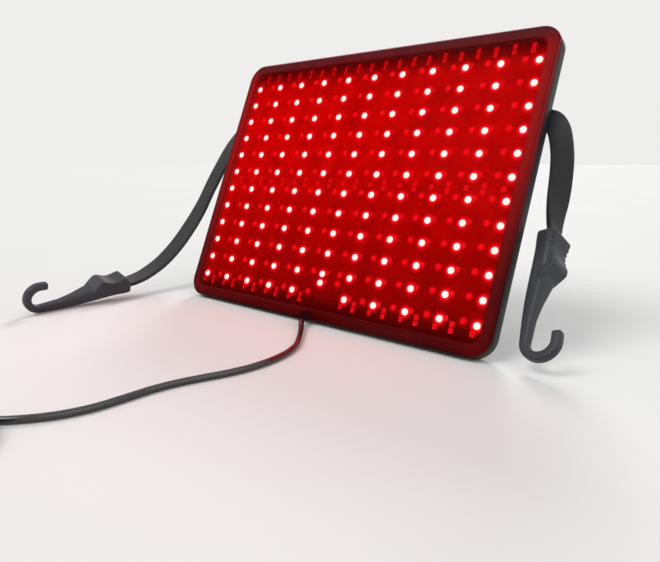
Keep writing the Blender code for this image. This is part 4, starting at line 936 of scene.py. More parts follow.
def frame_finish():
    """Dark moulded frame that glows dull red towards the lights: painted red light, with a painted sheen on
    its top bar and painted highlight lines on its outer round and top edge.
    """
    housing = bpy.context.scene.housing_sizes
    colour = chosen("bezel")
    tree, shader = start_finish("glowing_frame", colour, 0.36, gloss=0.03, glow=1.0)
    reach = housing.bezel_border + housing.bezel_lip
    field, place = glow_colour(tree, reach, FRAME_GLOW_STOPS)
    inside, parts = edge_distance(tree, place)
    x, y = parts.outputs["X"], parts.outputs["Y"]
    below_top = spread_value(tree, y, 0.0, 1.0, housing.height, housing.height - reach)
    high = spread_value(tree, y, 0.0, 1.0, housing.height * 0.2, housing.height)
    leftwards = spread_value(tree, x, 1.0, 0.2, 0.0, housing.width / 2)
    from_rim = spread_value(tree, inside, 0.0, 1.0, 0.0, reach)
    lit = field
    # Painted light on the frame: red light on its sides, a sheen on its top bar, highlight lines on its outer
    # round and along its top edge
    for amount, light in ((1.0, side_light(tree, parts, reach)), (1.0, ramp(tree, below_top, PAINTED_SHEEN_STOPS)),
                          (high, ramp(tree, from_rim, RIM_HIGHLIGHT_STOPS)),
                          (leftwards, ramp(tree, below_top, TOP_HIGHLIGHT_STOPS))):
        lit = mixed(tree, "ADD", amount, lit, light)
    tree.links.new(lit, shader.inputs["Emission Color"])
    patches = noise(tree, place, 45.0, 4.0)
    vary_colour(tree, shader, patches, colour, (0.8, 1.2))
    vary(tree, shader, "Roughness", patches, 0.30, 0.44)
    raised(tree, shader, noise(tree, place, 2600.0, 2.0), 0.3, 0.00005)


def seal_finish():
    """Gasket round the window, lit red on its inner side."""
    colour = chosen("rubber")
    tree, shader = start_finish("lit_seal", colour, 0.6, gloss=0.0, glow=0.8)
    field, place = glow_colour(tree, FIELD_REACH, FIELD_STOPS, SIDE_SHARE, FIELD_FOOT)
    tree.links.new(field, shader.inputs["Emission Color"])
    vary_colour(tree, shader, noise(tree, place, 150.0, 4.0), colour, (0.8, 1.4))


def glowing_finish(name, colour, strength=1.0, spread=0.06, scale=420.0):
    """A lit plastic or lens; its colour varies a little from light to light."""
    tree, shader = start_finish(name, scaled(colour, 0.2), 0.3, gloss=0.0, glow=strength)
    patches = noise(tree, object_place(tree), scale, 2.0)
    vary_colour(tree, shader, patches, colour, (1 - spread, 1.0), socket="Emission Color")
    vary(tree, shader, "Roughness", patches, 0.22, 0.38)


def window_finish():
    """Clear sheet tinted dark red by painted red light: mostly see-through, with a faint sheen and a trace of
    dust.
    """
    tree, shader = start_finish("clear_sheet", chosen("window"), 0.12, gloss=0.03)
    dust = noise(tree, object_place(tree), 240.0, 6.0, 0.7)
    vary(tree, shader, "Alpha", dust, 0.03, 0.06, 0.35, 0.75)
    vary(tree, shader, "Roughness", dust, 0.08, 0.22, 0.35, 0.75)


def strap_finish():
    """Elastic webbing: fine ribs along it and a tighter cross weave, both by the strap's own attributes."""
    colour = chosen("strap")
    tree, shader = start_finish("elastic_webbing", colour, 0.55, gloss=0.25)
    ribs = work_out(tree, "SINE", work_out(tree, "MULTIPLY", painted(tree, "across"), STRAP_RIBS))
    picks = work_out(tree, "SINE", work_out(tree, "MULTIPLY", painted(tree, "along"), STRAP_PICKS))
    weave = work_out(tree, "ADD", ribs, work_out(tree, "MULTIPLY", picks, 0.35))
    fuzz = noise(tree, object_place(tree), 1500.0, 4.0, 0.7)
    raised(tree, shader, work_out(tree, "ADD", weave, fuzz), 0.5, 0.00012)
    # The colour follows the weave's height: painted shade in its hollows, painted light on its ribs
    level = spread_value(tree, weave, 0.0, 1.0, -1.3, 1.3)
    vary_colour(tree, shader, level, colour, (0.6, 1.5), (0.1, 0.9))
    vary(tree, shader, "Roughness", fuzz, 0.45, 0.68)
    shader.inputs["Sheen Weight"].default_value = 0.25
    shader.inputs["Sheen Roughness"].default_value = 0.4


def floor_finish():
    """Pale floor with a hardly seen cloud."""
    colour = chosen("floor")
    tree, shader = start_finish("pale_floor", colour, 0.7, gloss=0.15)
    vary_colour(tree, shader, noise(tree, object_place(tree), 3.0, 2.0), colour, (0.985, 1.01))


def finishes():
    """All finishes by name, made once."""
    if "moulded_case" not in bpy.data.materials:
        moulded_finish("moulded_case", chosen("housing"), 0.44)
        moulded_finish("moulded_hook", chosen("hook"), 0.40, 2200.0, 0.00007, 0.14)
        moulded_finish("cord_sheath", chosen("cord"), 0.15, 1700.0, 0.00002, 0.15, 0.8)
        moulded_finish("tie_webbing", chosen("rubber"), 0.7, 1200.0, 0.00012, 0.3)
        rubber_finish("soft_rubber", chosen("rubber"))
        metal_finish("plated_steel", chosen("steel"))
        metal_finish("nickel_contact", chosen("nickel"), 0.2)
        glowing_finish("lit_rubber", chosen("lit_rubber"), 1.0, 0.3, 900.0)
        glowing_finish("red_lens", chosen("light"), 4.0)
        glowing_finish("red_package", chosen("package"), 1.25)
        glowing_finish("infrared_package", chosen("infrared"), 1.0, 0.15)
        glowing_finish("infrared_lens", chosen("infrared_lens"), 1.0, 0.1)
        glowing_finish("lead_positive_sheath", chosen("lead_positive"), 1.0, 0.2)
        glowing_finish("lead_negative_sheath", chosen("lead_negative"), 1.0, 0.2)
        for make in (board_finish, frame_finish, seal_finish, window_finish, strap_finish, floor_finish):
            make()
    return {item.name: item for item in bpy.data.materials}


def give_finish(node, finish):
    """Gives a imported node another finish; its shape stays."""
    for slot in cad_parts[node].material_slots:
        slot.material = finish


# Stage


class PANEL_OT_stage(Operator):
    """Add the camera, the pale floor and the soft lights"""

    bl_idname = "light_panel.stage"
    bl_label = "Stage"

    def execute(self, context):
        self.add_camera(context)
        self.add_lights(context)
        self.add_floor(context)
        return {"FINISHED"}

    def add_camera(self, context):
        camera = bpy.data.cameras.new("photo_camera")
        camera.sensor_width = CAMERA_SENSOR
        camera.lens = CAMERA_LENS
        camera.clip_start = 0.01
        item = bpy.data.objects.new("photo_camera", camera)
        item.location = CAMERA_PLACE
        item.rotation_euler = (pi / 2 - radians(CAMERA_DIP), 0, radians(CAMERA_ROUND))
        context.collection.objects.link(item)
        context.scene.camera = item

    def add_lights(self, context):
        for name, strength, softness, turned in LAMPS:
            lamp = bpy.data.lights.new(name, "SUN")
            lamp.energy = strength
            lamp.angle = radians(softness)
            item = bpy.data.objects.new(name, lamp)
            item.rotation_euler = [radians(angle) for angle in turned]
            item.location = (0, 0, 1)
            context.collection.objects.link(item)
        self.add_red_glow(context)
        self.add_room(context)

    def add_red_glow(self, context):
        """Red light that the panel throws on the floor and the hooks; not seen by the camera."""
        housing = context.scene.housing_sizes
        lamp = bpy.data.lights.new("red_glow", "AREA")
        lamp.shape = "RECTANGLE"
        lamp.size = housing.width * RED_GLOW_SHARES[0]
        lamp.size_y = housing.height * RED_GLOW_SHARES[1]
        lamp.energy = RED_GLOW_WATTS
        lamp.color = chosen("thrown")
        item = bpy.data.objects.new("red_glow", lamp)
        middle = Matrix.Translation((0, housing.height / 2, RED_GLOW_LIFT))
        item.matrix_world = panel_matrix() @ middle @ Matrix.Rotation(pi, 4, "Y")
        item.visible_camera = False
        context.collection.objects.link(item)

    def add_room(self, context):
        """A dim white room that lights the panel and is pale to the camera, in gloss and through glass."""
        world = bpy.data.worlds.new("pale_room")
        context.scene.world = world
        world.use_nodes = True
        tree = world.node_tree
        room = tree.nodes["Background"]
        seen = tree.nodes.new("ShaderNodeBackground")
        for shader, colour, level in ((room, (1.0, 1.0, 1.0), ROOM_LEVEL), (seen, chosen("room"), 1.0)):
            shader.inputs["Color"].default_value = (*colour, 1.0)
            shader.inputs["Strength"].default_value = level
        rays = tree.nodes.new("ShaderNodeLightPath").outputs
        mirrored = work_out(tree, "MAXIMUM", rays["Is Glossy Ray"], rays["Is Transmission Ray"])
        mix = tree.nodes.new("ShaderNodeMixShader")
        tree.links.new(work_out(tree, "MAXIMUM", rays["Is Camera Ray"], mirrored), mix.inputs[0])
        tree.links.new(room.outputs[0], mix.inputs[1])
        tree.links.new(seen.outputs[0], mix.inputs[2])
        tree.links.new(mix.outputs[0], tree.nodes["World Output"].inputs["Surface"])

    def add_floor(self, context):
        """A wide round floor a hair below what stands on it."""
        bm = bmesh.new()
        round_plate(bm, FLOOR_RADIUS, 96)
        bmesh.ops.translate(bm, vec=(0, 0, -FLOOR_GAP), verts=bm.verts)
        floor = piece("pale_floor", bm, [finishes()["pale_floor"]], body=None)
        context.scene.view_settings.view_transform = "Standard"


# Cord


def coil_loops(centre, start_turn, points_per_turn=48):
    """Loops that spiral in on the floor, climb a layer and spiral out again at a steady rate."""
    cord = bpy.context.scene.cord_sizes
    outer = cord.coil_radius + cord.coil_turns * cord.coil_pitch
    per_layer = cord.coil_turns * points_per_turn
    half_turn = points_per_turn / 2
    points = []
    for i in range(2 * per_layer + 1):
        angle = start_turn + tau * i / points_per_turn
        if i <= per_layer:
            radius = outer - cord.coil_pitch * i / points_per_turn
        else:
            radius = cord.coil_radius + cord.coil_pitch * (i - per_layer) / points_per_turn
        climb = min(max((i - per_layer + half_turn / 2) / half_turn, 0), 1)
        climb = climb * climb * (3 - 2 * climb)
        z = cord.diameter / 2 + cord.coil_pitch * climb
        points.append(Vector((centre.x + radius * cos(angle), centre.y + radius * sin(angle), z)))
    return points


def cord_path():
    """The whole cord as points, with the coil's middle."""
    cord = bpy.context.scene.cord_sizes
    route = [Vector(point) for point in CORD_ROUTE]
    heading = route[-1] - route[-2]
    heading.z = 0
    heading.normalize()
    outer = cord.coil_radius + cord.coil_turns * cord.coil_pitch
    to_centre = Vector((-heading.y, heading.x, 0))
    centre = route[-1] + heading * cord.diameter + to_centre * outer
    start_turn = atan2(-to_centre.y, -to_centre.x)
    loops = coil_loops(centre, start_turn)
    end_heading = (loops[-1] - loops[-2]).normalized()
    loops.append(loops[-1] + end_heading * cord.diameter)
    return catmull_rom(route, 6) + loops, centre, end_heading


class PANEL_OT_cord(Operator):
    """Add the power cord with its strain relief, tied coil and connector"""

    bl_idname = "light_panel.cord"
    bl_label = "Power cord"

    def execute(self, context):
        made = finishes()
        points, centre, heading = cord_path()
        cord = self.add_sheath(context, points, made["cord_sheath"])
        relief = self.add_relief(context, points, made["lit_rubber"])
        tie = self.add_tie(context, centre, heading, made["tie_webbing"])
        place = frame_at(points[-1] + heading * SEAT_GAP, Vector((0, 0, 1)), heading)
        grip = self.add_grip(context, place, made["cord_sheath"])
        contacts = self.add_contacts(context, place, made)
        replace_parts(cord, "power_cord", "cord_coil")
        return {"FINISHED"}

    def add_sheath(self, context, points, finish):
        curve = bpy.data.curves.new("cord_sheath", "CURVE")
        curve.dimensions = "3D"
        curve.bevel_depth = context.scene.cord_sizes.diameter / 2
        curve.bevel_resolution = 4
        curve.use_fill_caps = True
        spline = curve.splines.new("POLY")
        spline.points.add(len(points) - 1)
        for slot, point in zip(spline.points, points):
            slot.co = (*point, 1.0)
        spline.use_smooth = True
        curve.materials.append(finish)
        item = bpy.data.objects.new("cord_sheath", curve)
        context.collection.objects.link(item)
        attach(item, "panel")
        return item

    def add_relief(self, context, points, finish):
        """A ribbed taper over the first stretch of the cord."""
        sizes = context.scene.cord_sizes
        run = [points[0]]
        travelled = 0.0
        for before, after in zip(points, points[1:]):
            if travelled > sizes.relief_length:
                break
            run.append(after)
            travelled += (after - before).length
        dense = catmull_rom(run, 3)
        last = len(dense) - 1
        placements = []
        for i, point in enumerate(dense):
            share = i / last
            along = dense[min(i + 1, last)] - dense[max(i - 1, 0)]
            rib = sizes.relief_rib * (0.5 + 0.5 * cos(share * travelled / sizes.relief_pitch * tau))
            radius = sizes.diameter / 2 + RELIEF_SKIN + (sizes.relief_flare + rib) * (1 - share)
            placements.append(facing(point, along, Vector((1, 0, 0)), radius, radius))
        bm = bmesh.new()
        sweep(bm, round_plate(bm, 1.0, 24), placements)
        item = piece("strain_relief", bm, [finish])
        return item

    def add_tie(self, context, centre, heading, finish):
        """A flat tie looped once round all turns of the coil."""
        sizes = context.scene.cord_sizes
        inner = sizes.coil_radius - sizes.diameter / 2
        outer = sizes.coil_radius + sizes.coil_turns * sizes.coil_pitch + sizes.diameter / 2
        thick = sizes.tie_thickness
        tall = sizes.diameter + sizes.coil_pitch + thick
        bm = bmesh.new()
        loop = rounded_plate(bm, outer - inner + 2 * thick, tall, sizes.tie_corner, 8)
        top = raise_face(bm, loop, sizes.tie_width)
        bottom = widest_face(bm, 0.0)
        for face in (top, bottom):
            step_in(bm, face, thick, 0.0)
        bmesh.ops.bridge_loops(bm, edges=list(top.edges) + list(bottom.edges))
        bmesh.ops.delete(bm, geom=[top, bottom], context="FACES_ONLY")
        up, away = Vector((0, 0, 1)), Vector((-heading.y, heading.x, 0))
        middle = centre + away * (inner + outer) / 2 + up * (tall / 2 + TIE_GAP)
        axes = Matrix((away, up, away.cross(up))).transposed().to_4x4()
        place = Matrix.Translation(middle) @ axes @ Matrix.Translation((0, 0, -sizes.tie_width / 2))
        item = piece("coil_tie", bm, [finish], place=place)
        return item

    def add_grip(self, context, place, finish):
        """The connector's grip, with rings on its taper and grooves for the fingers."""
        sizes = context.scene.cord_sizes
        core, radius = sizes.diameter / 2, sizes.plug_radius
        start = sizes.plug_relief
        end = start + sizes.plug_length
        stations = [(0.0, 0.0), (core + TAPER_START, 0.0)]
        first, stretch = PLUG_RING_SPAN
        for i in range(PLUG_RINGS):
            share = i / PLUG_RINGS
            foot = core + TAPER_FIRST_RING + TAPER_GROWTH * share
            stations += self.outline_at(foot, start * (first + stretch * share), PLUG_RING_OUTLINE)
        stations.append((core + TAPER_END, start))
        stations += [(radius * share, start + along) for share, along in GRIP_START]
        first, step = PLUG_GROOVE_SPAN
        for i in range(PLUG_GROOVES):
            level = start + sizes.plug_length * (first + step * i)
            stations += self.outline_at(radius, level, PLUG_GROOVE_OUTLINE)
        stations += [(radius * share, end - along) for share, along in GRIP_END]
        stations.append((0.0, end))
        bm = bmesh.new()
        turn(bm, stations, 40)
        body = piece("connector_grip", bm, [finish], place=place)
        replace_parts(body, "plug_body")
        return body

    def outline_at(self, radius, level, outline):
        return [(radius + out, level + along) for out, along in outline]

    def add_contacts(self, context, place, made):
        """The connector's metal sleeve and the hollow insulator inside it."""
        sizes = context.scene.cord_sizes
        front = sizes.plug_relief + sizes.plug_length + SEAT_GAP
        tip = front + sizes.sleeve_length
        outer, inner, rim = sizes.sleeve_radius, sizes.sleeve_radius - sizes.sleeve_wall, sizes.sleeve_rim
        bm = bmesh.new()
        turn(bm, [(inner, front), (outer, front), (outer, tip - rim), (outer - rim, tip), (inner + rim, tip),
                  (inner, tip - rim), (inner, front)], 40)
        sleeve = piece("connector_sleeve", bm, [made["nickel_contact"]], place=place)
        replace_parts(sleeve, "plug_sleeve")
        core, bore, floor = sizes.core_radius, sizes.core_bore, front + sizes.sleeve_wall
        bm = bmesh.new()
        turn(bm, [(0.0, front), (core, front), (core, tip - rim), (core - rim, tip), (bore, tip),
                  (bore, floor), (0.0, floor)], 32)
        insulator = piece("connector_insulator", bm, [made["soft_rubber"]], place=place)
        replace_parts(insulator, "plug_insulator")
        return [sleeve, insulator]


# Housing


def notch_cutter():
    """The arched cable entry as a solid that is cut out of the bottom edge."""
    housing = bpy.context.scene.housing_sizes
    half = housing.notch_width / 2
    bm = bmesh.new()
    # Corners a hair short of half the width keep a sliver of straight edge between the two arcs
    face = rounded_plate(bm, housing.notch_width, 4 * housing.notch_height, half * 0.999, 10)
    bmesh.ops.translate(bm, vec=(0, -housing.notch_height, -housing.notch_depth), verts=bm.verts)
    raise_face(bm, face, housing.notch_depth + housing.bezel_depth)
    return piece("notch_cutter", bm, [], body=None, place=panel_matrix())


class PANEL_OT_housing(Operator):
    """Add the rear case and the front frame, and finish the window and its gasket"""

    bl_idname = "light_panel.housing"
    bl_label = "Case and front frame"

    def execute(self, context):
        made = finishes()
        self.add_case(context, made["moulded_case"])
        self.add_front_frame(context, made["glowing_frame"])
        give_finish("front_window", made["clear_sheet"])
        give_finish("spacer_gasket", made["lit_seal"])
        give_finish("cable_grommet", made["lit_rubber"])
        return {"FINISHED"}

    def add_case(self, context, finish):
        sizes = context.scene.housing_sizes
        back, front = -sizes.depth, -sizes.bezel_depth - SEAT_GAP
        bm = bmesh.new()
        slab(bm, 0.0, back, front, 14)
        round_edges(bm, widest_face(bm, back).edges, sizes.rear_round, 4)
        round_edges(bm, widest_face(bm, front).edges, sizes.seam_round, 3)
        margin = sizes.recess_border - sizes.rear_round - sizes.recess_depth
        for level, inset, drop in (
            (front, sizes.rim_wall - sizes.seam_round, 0.0),
            (front, HAIR, back + sizes.tray_floor - front),
            (back, margin, 0.0),
            (back, sizes.recess_depth, -sizes.recess_depth),
        ):
            step_in(bm, widest_face(bm, level), inset, drop)
        bmesh.ops.transform(bm, matrix=panel_matrix(), verts=bm.verts)
        geometry = list(bm.verts) + list(bm.edges) + list(bm.faces)
        cut = bmesh.ops.bisect_plane(bm, geom=geometry, plane_co=(0, 0, 0), plane_no=(0, 0, 1),
                                     clear_inner=True)
        rim = [item for item in cut["geom_cut"] if isinstance(item, bmesh.types.BMEdge)]
        bmesh.ops.holes_fill(bm, edges=rim)
        item = piece("rear_case", bm, [finish])
        carve(item, notch_cutter())
        carve(item, self.screw_cutter(context))
        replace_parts(item, "rear_tray")

    def screw_cutter(self, context):
        """Round pockets in the border of the back for the heads of the housing screws."""
        behind = -context.scene.housing_sizes.depth - POCKET_START
        seats = [screw_seat(node) for node in node_names("housing_screw", HOUSING_SCREWS)]
        _, radius, _ = seats[0]
        floor = seats[0][0].z + POCKET_DEEPER
        wide = radius + SEAT_GAP
        bm = bmesh.new()
        turn(bm, [(0.0, behind), (wide, behind), (wide, floor), (0.0, floor)], 24)
        scatter(bm, [Vector((seat.x, seat.y, 0)) for seat, _, _ in seats])
        return piece("screw_cutter", bm, [], body=None, place=panel_matrix())

    def add_front_frame(self, context, finish):
        sizes = context.scene.housing_sizes
        back = -sizes.bezel_depth
        bm = bmesh.new()
        slab(bm, 0.0, back, 0.0, 14)
        round_edges(bm, widest_face(bm, 0.0).edges, sizes.bezel_edge, 5)
        round_edges(bm, widest_face(bm, back).edges, sizes.seam_round, 2)
        step_in(bm, widest_face(bm, 0.0), sizes.bezel_border - sizes.bezel_edge, 0.0)
        inner = step_in(bm, widest_face(bm, 0.0), sizes.bezel_lip, -sizes.bezel_lip)
        step_in(bm, widest_face(bm, back), sizes.rim_wall - sizes.seam_round, 0.0)
        step_in(bm, widest_face(bm, back), HAIR, sizes.bezel_lip - sizes.bezel_depth)
        rest = sizes.bezel_border + sizes.bezel_lip - sizes.rim_wall - HAIR
        lower = step_in(bm, widest_face(bm, -sizes.bezel_lip, inner), rest, 0.0)
        bmesh.ops.delete(bm, geom=[inner, lower], context="FACES_ONLY")
        bmesh.ops.remove_doubles(bm, verts=bm.verts, dist=5 * HAIR)
        item = piece("front_frame", bm, [finish], place=panel_matrix())
        carve(item, notch_cutter())
        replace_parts(item, "front_bezel")


# Board and lights


class PANEL_OT_board(Operator):
    """Add the circuit board with its traces, lights, pads and resistors"""

    bl_idname = "light_panel.board"
    bl_label = "Circuit board and lights"

    def execute(self, context):
        made = finishes()
        self.add_plate(context, made["lit_board"])
        self.add_traces(context, made["lit_board"])
        self.add_rings(context, made["lit_board"])
        self.add_red_lights(context, made)
        self.add_infrared(context, made)
        self.add_resistors(context, made["lit_board"])
        give_finish("lead_positive", made["lead_positive_sheath"])
        give_finish("lead_negative", made["lead_negative_sheath"])
        return {"FINISHED"}

    def lay(self, name, bm, finish, **options):
        """Makes a piece of the board out of a bmesh in the panel's own frame."""
        item = piece(name, bm, [finish], place=panel_matrix(), **options)
        return item

    def add_plate(self, context, finish):
        sizes = context.scene.housing_sizes
        bm = bmesh.new()
        slab(bm, sizes.rim_wall + SEAT_GAP, -sizes.board_front - sizes.board_thickness, -sizes.board_front, 8)
        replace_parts(self.lay("circuit_board", bm, finish), "led_board")

    def add_traces(self, context, finish):
        """The flat traces that join the lights in each row."""
        lights = context.scene.light_sizes
        long = (lights.columns - 1) * lights.column_pitch
        lift = Vector((long / 2, 0, TRACE_THICKNESS / 2))
        bm = bmesh.new()
        for start in on_board([light_place(0, row) for row in range(lights.rows)]):
            block(bm, long, lights.trace_width, TRACE_THICKNESS, start + lift)
        glow = bm.verts.layers.float.new("glow")
        for vert in bm.verts:
            vert[glow] = TRACE_GLOW
        self.lay("board_traces", bm, finish)

    def add_rings(self, context, finish):
        """Thin lit discs under the lights, and the lit solder pads beside them and under the resistors."""
        lights = context.scene.light_sizes
        bright = [(lights.dot * share, level) for share, level in DOT_LEVELS] + [(lights.halo, 0.0)]
        dim = [(lights.infrared_package * share, level) for share, level in DIM_LEVELS]
        self.add_discs("light_rings", light_places(), bright, LIGHT_RING_RISE, finish)
        self.add_discs("dim_rings", infrared_places(), dim, DIM_RING_RISE, finish)
        aside = Vector((lights.pad_aside, lights.pad_lift, 0))
        beside, under = [place + aside for place in light_places()], self.chip_places(context)
        for name, places, wide, levels, thick in (
            ("solder_pads", beside, lights.pad_width, SOLDER_PAD_GLOW, SOLDER_PAD_THICKNESS),
            ("chip_pads", under, lights.chip_pad_width, CHIP_PAD_GLOW, CHIP_PAD_THICKNESS),
        ):
            self.add_pads(name, places, wide, levels, thick, finish)

    def add_discs(self, name, places, levels, rise, finish):
        """A flat disc in each place whose brightness follows pairs of radius and glow."""
        bm = bmesh.new()
        glow = bm.verts.layers.float.new("glow")
        turn(bm, [(radius, 0.0) for radius, _ in levels], 20)
        for vert in bm.verts:
            radius = vert.co.xy.length
            vert[glow] = min(levels, key=lambda entry: abs(entry[0] - radius))[1]
        bm.normal_update()
        bmesh.ops.reverse_faces(bm, faces=[face for face in bm.faces if face.normal.z < 0])
        scatter(bm, on_board(places, rise))
        self.lay(name, bm, finish, recalculate=False)

    def add_pads(self, name, places, wide, levels, thick, finish):
        """A thin lit plate on the board in each place."""
        bm = bmesh.new()
        block(bm, wide, bpy.context.scene.light_sizes.pad_length, thick, (0, 0, thick / 2))
        scatter(bm, on_board(places))
        self.light_up(bm, levels)
        self.lay(name, bm, finish)

    def light_up(self, bm, levels):
        """Gives each vertex its glow, which rises towards the board's lower right."""
        housing = bpy.context.scene.housing_sizes
        dim, bright = levels
        glow = bm.verts.layers.float.new("glow")
        for vert in bm.verts:
            share = (vert.co.x / housing.width + 0.5 + 1 - vert.co.y / housing.height) / 2
            vert[glow] = dim + (bright - dim) * min(1, max(0, share))

    def add_red_lights(self, context, made):
        """Square packages with cut corners, each with its domed lens."""
        lights = context.scene.light_sizes
        side, base, radius = lights.red_package, lights.red_base, lights.red_lens
        places = on_board(light_places())
        bm = bmesh.new()
        block(bm, side, side, base, (0, 0, base / 2))
        upright = [edge for edge in bm.edges if abs(edge.verts[0].co.z - edge.verts[1].co.z) > base / 2]
        round_edges(bm, upright, side * PACKAGE_CUT_SHARE, 1)
        scatter(bm, places)
        self.lay("red_packages", bm, made["red_package"])
        rise = lights.red_height - base
        dome = [(radius * out, base + rise * up) for out, up in RED_DOME]
        bm = bmesh.new()
        turn(bm, [(0.0, base), (radius, base), *dome, (0.0, lights.red_height)], 12)
        scatter(bm, places)
        self.lay("red_lenses", bm, made["red_lens"], angle=70)

    def add_infrared(self, context, made):
        """Smaller packages with flat lenses."""
        lights = context.scene.light_sizes
        side, high = lights.infrared_package, lights.infrared_height
        base, radius = high * INFRARED_BASE_SHARE, side * INFRARED_LENS_SHARE
        places = on_board(infrared_places())
        bm = bmesh.new()
        block(bm, side, side, base, (0, 0, base / 2), INFRARED_ROUND)
        scatter(bm, places)
        self.lay("infrared_packages", bm, made["infrared_package"])
        out, up = INFRARED_SHOULDER
        bm = bmesh.new()
        turn(bm, [(0.0, base), (radius, base), (radius * out, high * up), (0.0, high)], 12)
        scatter(bm, places)
        self.lay("infrared_lenses", bm, made["infrared_lens"], angle=70)

    def chip_places(self, context):
        """Centres of the resistors, but for those that would leave the board or meet the cable entry."""
        housing, lights = context.scene.housing_sizes, context.scene.light_sizes
        limit = housing.width / 2 - housing.rim_wall - lights.edge_gap - lights.chip_width
        last_row = lights.rows - 1
        groups = ((0, TOP_CHIP_SHARES), (MIDDLE_CHIP_ROW, MIDDLE_CHIP_SHARES), (last_row, BOTTOM_CHIP_SHARES))
        places = []
        for row, shares in groups:
            for column in range(lights.columns):
                if (column, row) == (MOVED_COLUMN, last_row):
                    continue
                start = light_place(column, row)
                for across, up in shares:
                    place = start + Vector((across * lights.column_pitch, up * lights.row_pitch, 0))
                    if abs(place.x) <= limit:
                        places.append(place)
        return places

    def add_resistors(self, context, finish):
        """Small blocks with a soldered cap on each end."""
        lights = context.scene.light_sizes
        wide, long, high = lights.chip_width, lights.chip_length, lights.chip_height
        places = on_board(self.chip_places(context))
        bm = bmesh.new()
        block(bm, wide, long * CHIP_BODY_SHARE, high, (0, 0, high / 2))
        scatter(bm, places)
        self.light_up(bm, CHIP_GLOW)
        self.lay("resistor_bodies", bm, finish)
        across, along, up = CHIP_END_SHARES
        out, middle = CHIP_END_PLACE
        bm = bmesh.new()
        for side in (-1, 1):
            centre = (0, side * long * out, high * middle)
            block(bm, wide * across, long * along, high * up, centre, CHIP_END_ROUND)
        scatter(bm, places)
        self.light_up(bm, CHIP_END_GLOW)
        self.lay("resistor_ends", bm, finish)


# Strap and hooks


def strap_run(begin, place, shares, side):
    """Stations of one free run, from its start behind the panel into the hook's mouth."""
    strap = bpy.context.scene.strap_sizes
    mouth = place @ Vector((0, 0, mouth_height()))
    aim = pointing(place, (1, 0, 0))
    flat = pointing(place, (0, side, 0))
    upright = pointing(panel_matrix(), (0, 1, 0))
    aside = Vector((side, 0, 0))
    span = mouth - begin
    centres, widths = [begin], [upright]
    for across, forward, down, turn_share, twist in shares:
        centres.append(begin + Vector((across * span.x, forward * span.y, down * span.z)))
        turned_width = upright * cos(turn_share * pi / 2) + aside * sin(turn_share * pi / 2)
        widths.append(turned_width.lerp(flat, twist).normalized())
    centres += [mouth - aim * strap.exit, mouth, mouth + aim * (strap.mouth_depth - SEAT_GAP)]
    widths += [flat, flat, flat]
    return catmull_rom(centres, 8), catmull_rom(widths, 8)


class PANEL_OT_strap(Operator):
    """Add the elastic strap that runs behind the panel to both hooks"""

    bl_idname = "light_panel.strap"
    bl_label = "Elastic strap"

    def execute(self, context):
        strap = context.scene.strap_sizes
        placements, distances = self.stations(context)
        bm = bmesh.new()
        along_layer = bm.verts.layers.float.new("along")
        across_layer = bm.verts.layers.float.new("across")
        face = rounded_plate(bm, strap.width, strap.thickness, strap.corner, 4)
        long_edges = [edge for edge in face.edges if edge.calc_length() > strap.width / 2]
        bmesh.ops.bisect_edges(bm, edges=long_edges, cuts=11)
        face = next(iter(bm.faces))
        for vert in face.verts:
            vert[across_layer] = vert.co.x
        sweep(bm, face, placements, distances, along_layer)
        item = piece("elastic_webbing", bm, [finishes()["elastic_webbing"]], angle=60)
        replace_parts(item, "elastic_strap")
        return {"FINISHED"}

    def stations(self, context):
        """Placements of the strap's section from hook to hook, and how far along the strap each one is."""
        strap, housing = context.scene.strap_sizes, context.scene.housing_sizes
        behind = -housing.depth - strap.lift - strap.thickness / 2
        ends = (-housing.width / 2 - strap.exit, housing.width / 2 - strap.right_turn)
        exits = [panel_matrix() @ Vector((x, strap.height_on_back, behind)) for x in ends]
        left_place, right_place = hook_places()
        left_centres, left_widths = strap_run(exits[0], left_place, LEFT_RUN_SHARES, -1)
        right_centres, right_widths = strap_run(exits[1], right_place, RIGHT_RUN_SHARES, 1)
        middle = [exits[0].lerp(exits[1], i / 12) for i in range(1, 12)]
        centres = left_centres[::-1] + middle + right_centres
        widths = left_widths[::-1] + [pointing(panel_matrix(), (0, 1, 0))] * len(middle) + right_widths
        placements, distances = [], [0.0]
        last = len(centres) - 1
        for i, (centre, width) in enumerate(zip(centres, widths)):
            along = centres[min(i + 1, last)] - centres[max(i - 1, 0)]
            placements.append(facing(centre, along, width))
            if i:
                distances.append(distances[-1] + (centre - centres[i - 1]).length)
        return placements, distances


